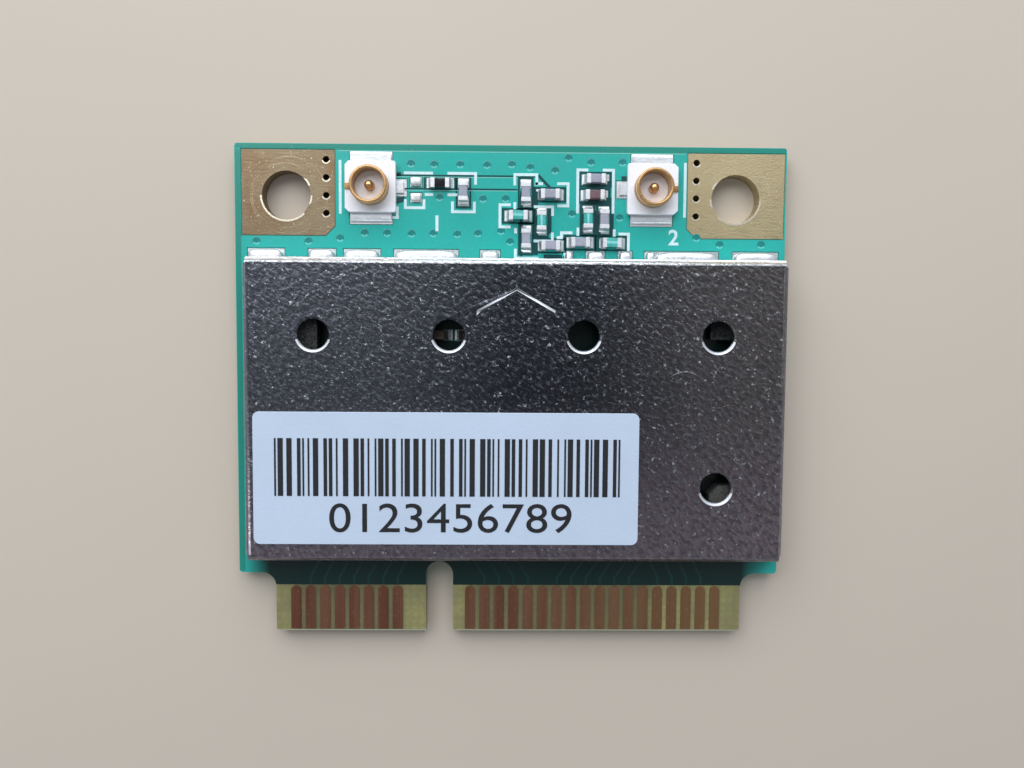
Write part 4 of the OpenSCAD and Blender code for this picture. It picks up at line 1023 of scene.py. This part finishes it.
# Stretches along the board's edge that carry no copper
ETCHED_AREAS = (
    [(-14.8, 13.06), (14.8, 13.06), (14.8, 13.3), (-14.8, 13.3)],
    [(-14.82, -9.9), (-14.53, -9.9), (-14.53, 13.0), (-14.82, 13.0)],
    [(-9.35, 12.99), (9.4, 12.99), (9.4, 13.06), (-9.35, 13.06)],
)
# Traces that fan out from the contacts: place of the first, their count, and how far they lean
FAN_OUT = ((-10.96, 7, 0.55), (-1.36, 4, -0.6), (2.64, 6, 0.7), (8.24, 4, -0.5))
# Edge of the copper along the antenna end
COPPER_EDGE = [(-9.3, 12.96), (9.35, 12.96)]
# Holes covered by the mask
COVERED_HOLES = (
    (-5.42, 12.32), (-4.18, 12.29), (-2.78, 12.30), (-1.34, 12.28), (-0.01, 12.33), (0.98, 12.18),
    (2.32, 12.03), (3.04, 12.70), (4.25, 12.47), (5.95, 12.49), (-3.89, 10.54), (-1.55, 10.48),
    (-0.33, 10.50), (3.26, 9.73), (5.83, 9.55), (-5.39, 8.60), (-4.22, 8.62), (-2.93, 8.59),
    (-1.81, 8.64), (-0.57, 8.78), (-0.08, 8.21), (-13.72, 8.15), (-10.93, 8.16), (-9.23, 8.33),
    (-7.91, 8.62), (-6.71, 8.62), (10.02, 8.50), (11.29, 8.14), (13.55, 8.16),
)


class CARD_OT_silkscreen(bpy.types.Operator):
    """Prints the white outlines round the chip parts and receptacles"""
    bl_idname = "card.silkscreen"
    bl_label = "Silkscreen"

    def execute(self, context):
        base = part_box("top_solder_mask")[1].z / MM
        top = base + sizes().print_height / MM
        width = sizes().line / MM
        outlines = []
        for node, lines in SILKSCREEN_LINES.items():
            middle = centre(node)
            for line in lines:
                outlines.append(line_outline([middle + Vector(p) for p in line], width))
        outlines.append(line_outline(SPARE_LAND_FRAME, width))
        piece = flat_piece("silkscreen", outlines, base, top, 0.003)
        height = sizes().print_height / MM
        marks = [digits("mark", *mark, MARK_HEIGHT, None, base, height, bold=0.02) for mark in MARKS]
        piece = join("silkscreen", [piece, *marks])
        finish_piece(piece, plain_ink(colours().silkscreen, "silkscreen ink, white", 0.5))
        return {"FINISHED"}


def end_bracket(along, reach=0.98, half=0.59, leg=0.58):
    """A three-sided frame round one end of a chip; along is the direction of that end."""
    out, side = Vector(along), Vector((-along[1], along[0]))
    return [tuple(out * (reach - leg) + side * half), tuple(out * reach + side * half),
            tuple(out * reach - side * half), tuple(out * (reach - leg) - side * half)]


# Printed lines in millimetres from the middle of the part they belong to
SILKSCREEN_LINES = {
    "left_series_capacitor": [end_bracket((0, 1)), [(-0.58, -0.49), (-0.58, -0.87)]],
    "left_dc_block_capacitor": [end_bracket((1, 0)), [(-0.8, 0.58), (-0.37, 0.58)]],
    "left_series_inductor": [
        [(-0.41, 0.78), (0.61, 0.78), (0.61, 0.29)], [(-0.41, -1.05), (0.61, -1.05), (0.61, -0.59)],
    ],
    "left_shunt_inductor": [end_bracket((-1, 0))],
    "left_shunt_capacitor": [[(-0.56, 0.29), (-0.56, 0.58)], [(-0.56, -0.53), (-0.56, -1.03), (0.7, -1.03)]],
    "left_output_capacitor": [[(1.2, 0.7), (0.6, 0.7), (0.6, 0.44), (0.34, 0.44)]],
    "right_output_capacitor": [
        [(-0.39, 0.51), (-0.95, 0.51), (-0.95, -1.8)], [(0.39, 0.51), (0.97, 0.51), (0.97, -1.8)],
    ],
    "right_series_inductor": [[(-0.51, -0.44), (-0.51, -0.88)]],
    "right_series_capacitor": [[(0.58, -0.49), (0.58, -0.88)]],
    "right_shunt_inductor": [[(0.39, 0.51), (0.93, 0.51), (0.93, -0.39)]],
    "right_shunt_capacitor": [[(-0.88, -0.63), (-0.44, -0.63)], [(0.34, -0.63), (1.29, -0.63)]],
    "feed_resistor": [
        [(-1.95, 0.54), (-0.39, 0.54)], [(0.39, 0.54), (1.9, 0.54), (1.9, -0.05)],
        [(-0.83, -0.6), (-0.37, -0.6)], [(0.39, -0.6), (0.93, -0.6)],
    ],
    "feed_capacitor": [end_bracket((0, -1), reach=1.05, leg=0.55)],
    "left_antenna_insulator": [[(-1.66, 1.44), (-1.66, -1.41)], [(1.1, -1.58), (1.4, -1.58), (1.4, -1.0)]],
    "right_antenna_insulator": [[(1.8, 1.47), (1.8, -1.45)]],
}
SPARE_LAND_FRAME = [(-5.72, 10.42), (-5.72, 9.97), (-4.72, 9.97), (-4.72, 10.42)]
# Plain marks beside the receptacles, each with its lower left corner
MARKS = (("1", -4.1, 8.73), ("2", 8.5, 8.08))
MARK_HEIGHT = 0.84


class CARD_OT_inner_parts(bpy.types.Operator):
    """Gives the parts under the shield can their finishes"""
    bl_idname = "card.inner_parts"
    bl_label = "Parts under the can"

    def execute(self, context):
        # Under the can the mould, the leads and the brown ceramics are painted darker than they are, as
        # painted shade.
        mould = moulded(linear("#0C0C0E"), "chip mould, black epoxy", 0.75, 0.14, 0.2, gloss=0.12)
        leads = tin(linear("#35342F"), "chip leads, dulled tin")
        brown = moulded(linear("#3A3024"), "capacitor ceramic, fired brown")
        white = moulded(linear("#B8B6AC"), "balun ceramic, fired white", 0.4)
        grey = moulded(linear("#2F2E2B"), "crystal base and coil core, sintered", 0.6, 0.11, 0.2)
        glass = glazed(colours().resistor, "resistor glass, inner parts")
        finishes = {
            mould: (
                "radio_chip", "memory_chip", "voltage_regulator",
                "left_front_end_module", "right_front_end_module",
            ),
            leads: (
                "radio_chip_leads", "memory_chip_legs", "voltage_regulator_legs", "front_end_leads",
                "crystal_lid", "power_inductor_terminals", "balun_terminals", "inner_chip_terminals",
            ),
            brown: ("inner_capacitors",),
            white: ("left_balun", "right_balun"),
            grey: ("crystal_base", "power_inductor"),
            glass: ("inner_resistors",),
            tin_material(): ("inner_solder_joints",),
        }
        for material, nodes in finishes.items():
            dress_nodes(material, *nodes)
        return {"FINISHED"}


# Width of the floor, and its level just under the card, in metres
FLOOR_WIDTH = 1.2
FLOOR_LEVEL = -0.00001
# Window: place and size in metres, and power in watts
WINDOW_PLACE = (-0.03, 0.13, 0.12)
WINDOW_SIZE = (0.24, 0.18)
WINDOW_POWER = 0.4
# Light of a plain room, dim overhead and brighter at the walls: axis, start, end, and the level at each
ROOM_LIGHT = (("Z", 0.88, 0.992, 0.6, 0.07), ("Y", -0.6, 0.8, 0.6, 1.45), ("X", -1, 1, 1.12, 0.88))


class CARD_OT_stage(bpy.types.Operator):
    """Sets the floor, the lights and the camera"""
    bl_idname = "card.stage"
    bl_label = "Stage"

    def execute(self, context):
        bpy.ops.object.select_all(action="DESELECT")
        bpy.ops.mesh.primitive_plane_add(size=FLOOR_WIDTH, location=(0, 0, FLOOR_LEVEL))
        floor = made()
        floor.name = "floor"
        material, place = start_material("floor, plain painted board", colours().floor, 0.7)
        # Roller paint on board: matt, with a barely seen cloudiness a few centimetres wide.
        cloudy = grain(place, 40, detail=3)
        surface(material, coats(colours().floor, (cloudy, 1.0, darker(colours().floor, 0.04))))
        floor.data.materials.append(material)

        # The window stands close at the upper left, so the card darkens a little towards its lower edge.
        bpy.ops.object.light_add(type="AREA", location=WINDOW_PLACE)
        lamp = made()
        lamp.name = "window_light"
        lamp.rotation_euler = (-Vector(WINDOW_PLACE)).to_track_quat("-Z", "Y").to_euler()
        lamp.data.shape = "RECTANGLE"
        lamp.data.size, lamp.data.size_y = WINDOW_SIZE
        lamp.data.energy = WINDOW_POWER
        lamp.data.color = linear("#FAFBFF")

        world = bpy.data.worlds.new("studio")
        context.scene.world = world
        world.use_nodes = True
        tree = world.node_tree
        way = add(tree, "TexCoord", output="Generated")
        levels = []
        for axis, start, end, first, last in ROOM_LIGHT:
            span = {"From Min": start, "From Max": end, "To Min": first, "To Max": last}
            value = add(tree, "SeparateXYZ", {0: way}, axis)
            levels.append(add(tree, "MapRange", {"Value": value, **span}, 0))
        background = tree.nodes["Background"]
        background.inputs["Color"].default_value = (*linear("#E6ECF4"), 1)
        tree.links.new(product(*levels), background.inputs["Strength"])

        bpy.ops.object.camera_add(location=tuple(v * MM for v in CAMERA_PLACE))
        camera = made()
        turns = [Matrix.Rotation(math.radians(a), 3, axis) for a, axis in zip(CAMERA_TURN, "XYZ")]
        camera.rotation_euler = (turns[2] @ turns[1] @ turns[0]).transposed().to_euler()
        camera.data.sensor_width = SENSOR_WIDTH
        camera.data.lens = FOCAL_PIXELS / IMAGE_WIDTH * SENSOR_WIDTH
        camera.data.clip_start = 0.001
        context.scene.camera = camera
        context.scene.view_settings.view_transform = "Standard"
        return {"FINISHED"}


# Camera fitted to the photograph: place in millimetres, turns in degrees, focal length in pixels
CAMERA_PLACE = (-0.64, 3.37, 47.0)
CAMERA_TURN = (3.57, 0.90, -0.35)
FOCAL_PIXELS = 844.2
IMAGE_WIDTH = 1024
SENSOR_WIDTH = 36.0

# The card's operators in the order in which they run
STEPS = (
    "board", "mask_details", "shield_can", "can_solder", "label", "receptacles", "chips", "silkscreen",
    "inner_parts", "stage",
)


class CARD_PT_panel(bpy.types.Panel):
    """Lists the steps that dress the card"""
    bl_idname = "CARD_PT_panel"
    bl_label = "Mini card"
    bl_space_type = "VIEW_3D"
    bl_region_type = "UI"
    bl_category = "Mini card"

    def draw(self, context):
        for step in STEPS:
            self.layout.operator(f"card.{step}")
        for settings in (context.scene.card_sizes, context.scene.card_colours):
            box = self.layout.box()
            for name in settings.__annotations__:
                box.prop(settings, name)


CLASSES = (
    CardColours, CardSizes,
    CARD_OT_board, CARD_OT_mask_details, CARD_OT_shield_can, CARD_OT_can_solder, CARD_OT_label,
    CARD_OT_receptacles, CARD_OT_chips, CARD_OT_silkscreen, CARD_OT_inner_parts, CARD_OT_stage,
    CARD_PT_panel,
)


def register():
    for item in CLASSES:
        bpy.utils.register_class(item)
    bpy.types.Scene.card_colours = bpy.props.PointerProperty(type=CardColours)
    bpy.types.Scene.card_sizes = bpy.props.PointerProperty(type=CardSizes)


def unregister():
    del bpy.types.Scene.card_sizes, bpy.types.Scene.card_colours
    for item in reversed(CLASSES):
        bpy.utils.unregister_class(item)


def main():
    register()
    for step in STEPS:
        getattr(bpy.ops.card, step)()


if __name__ == "__main__":
    main()
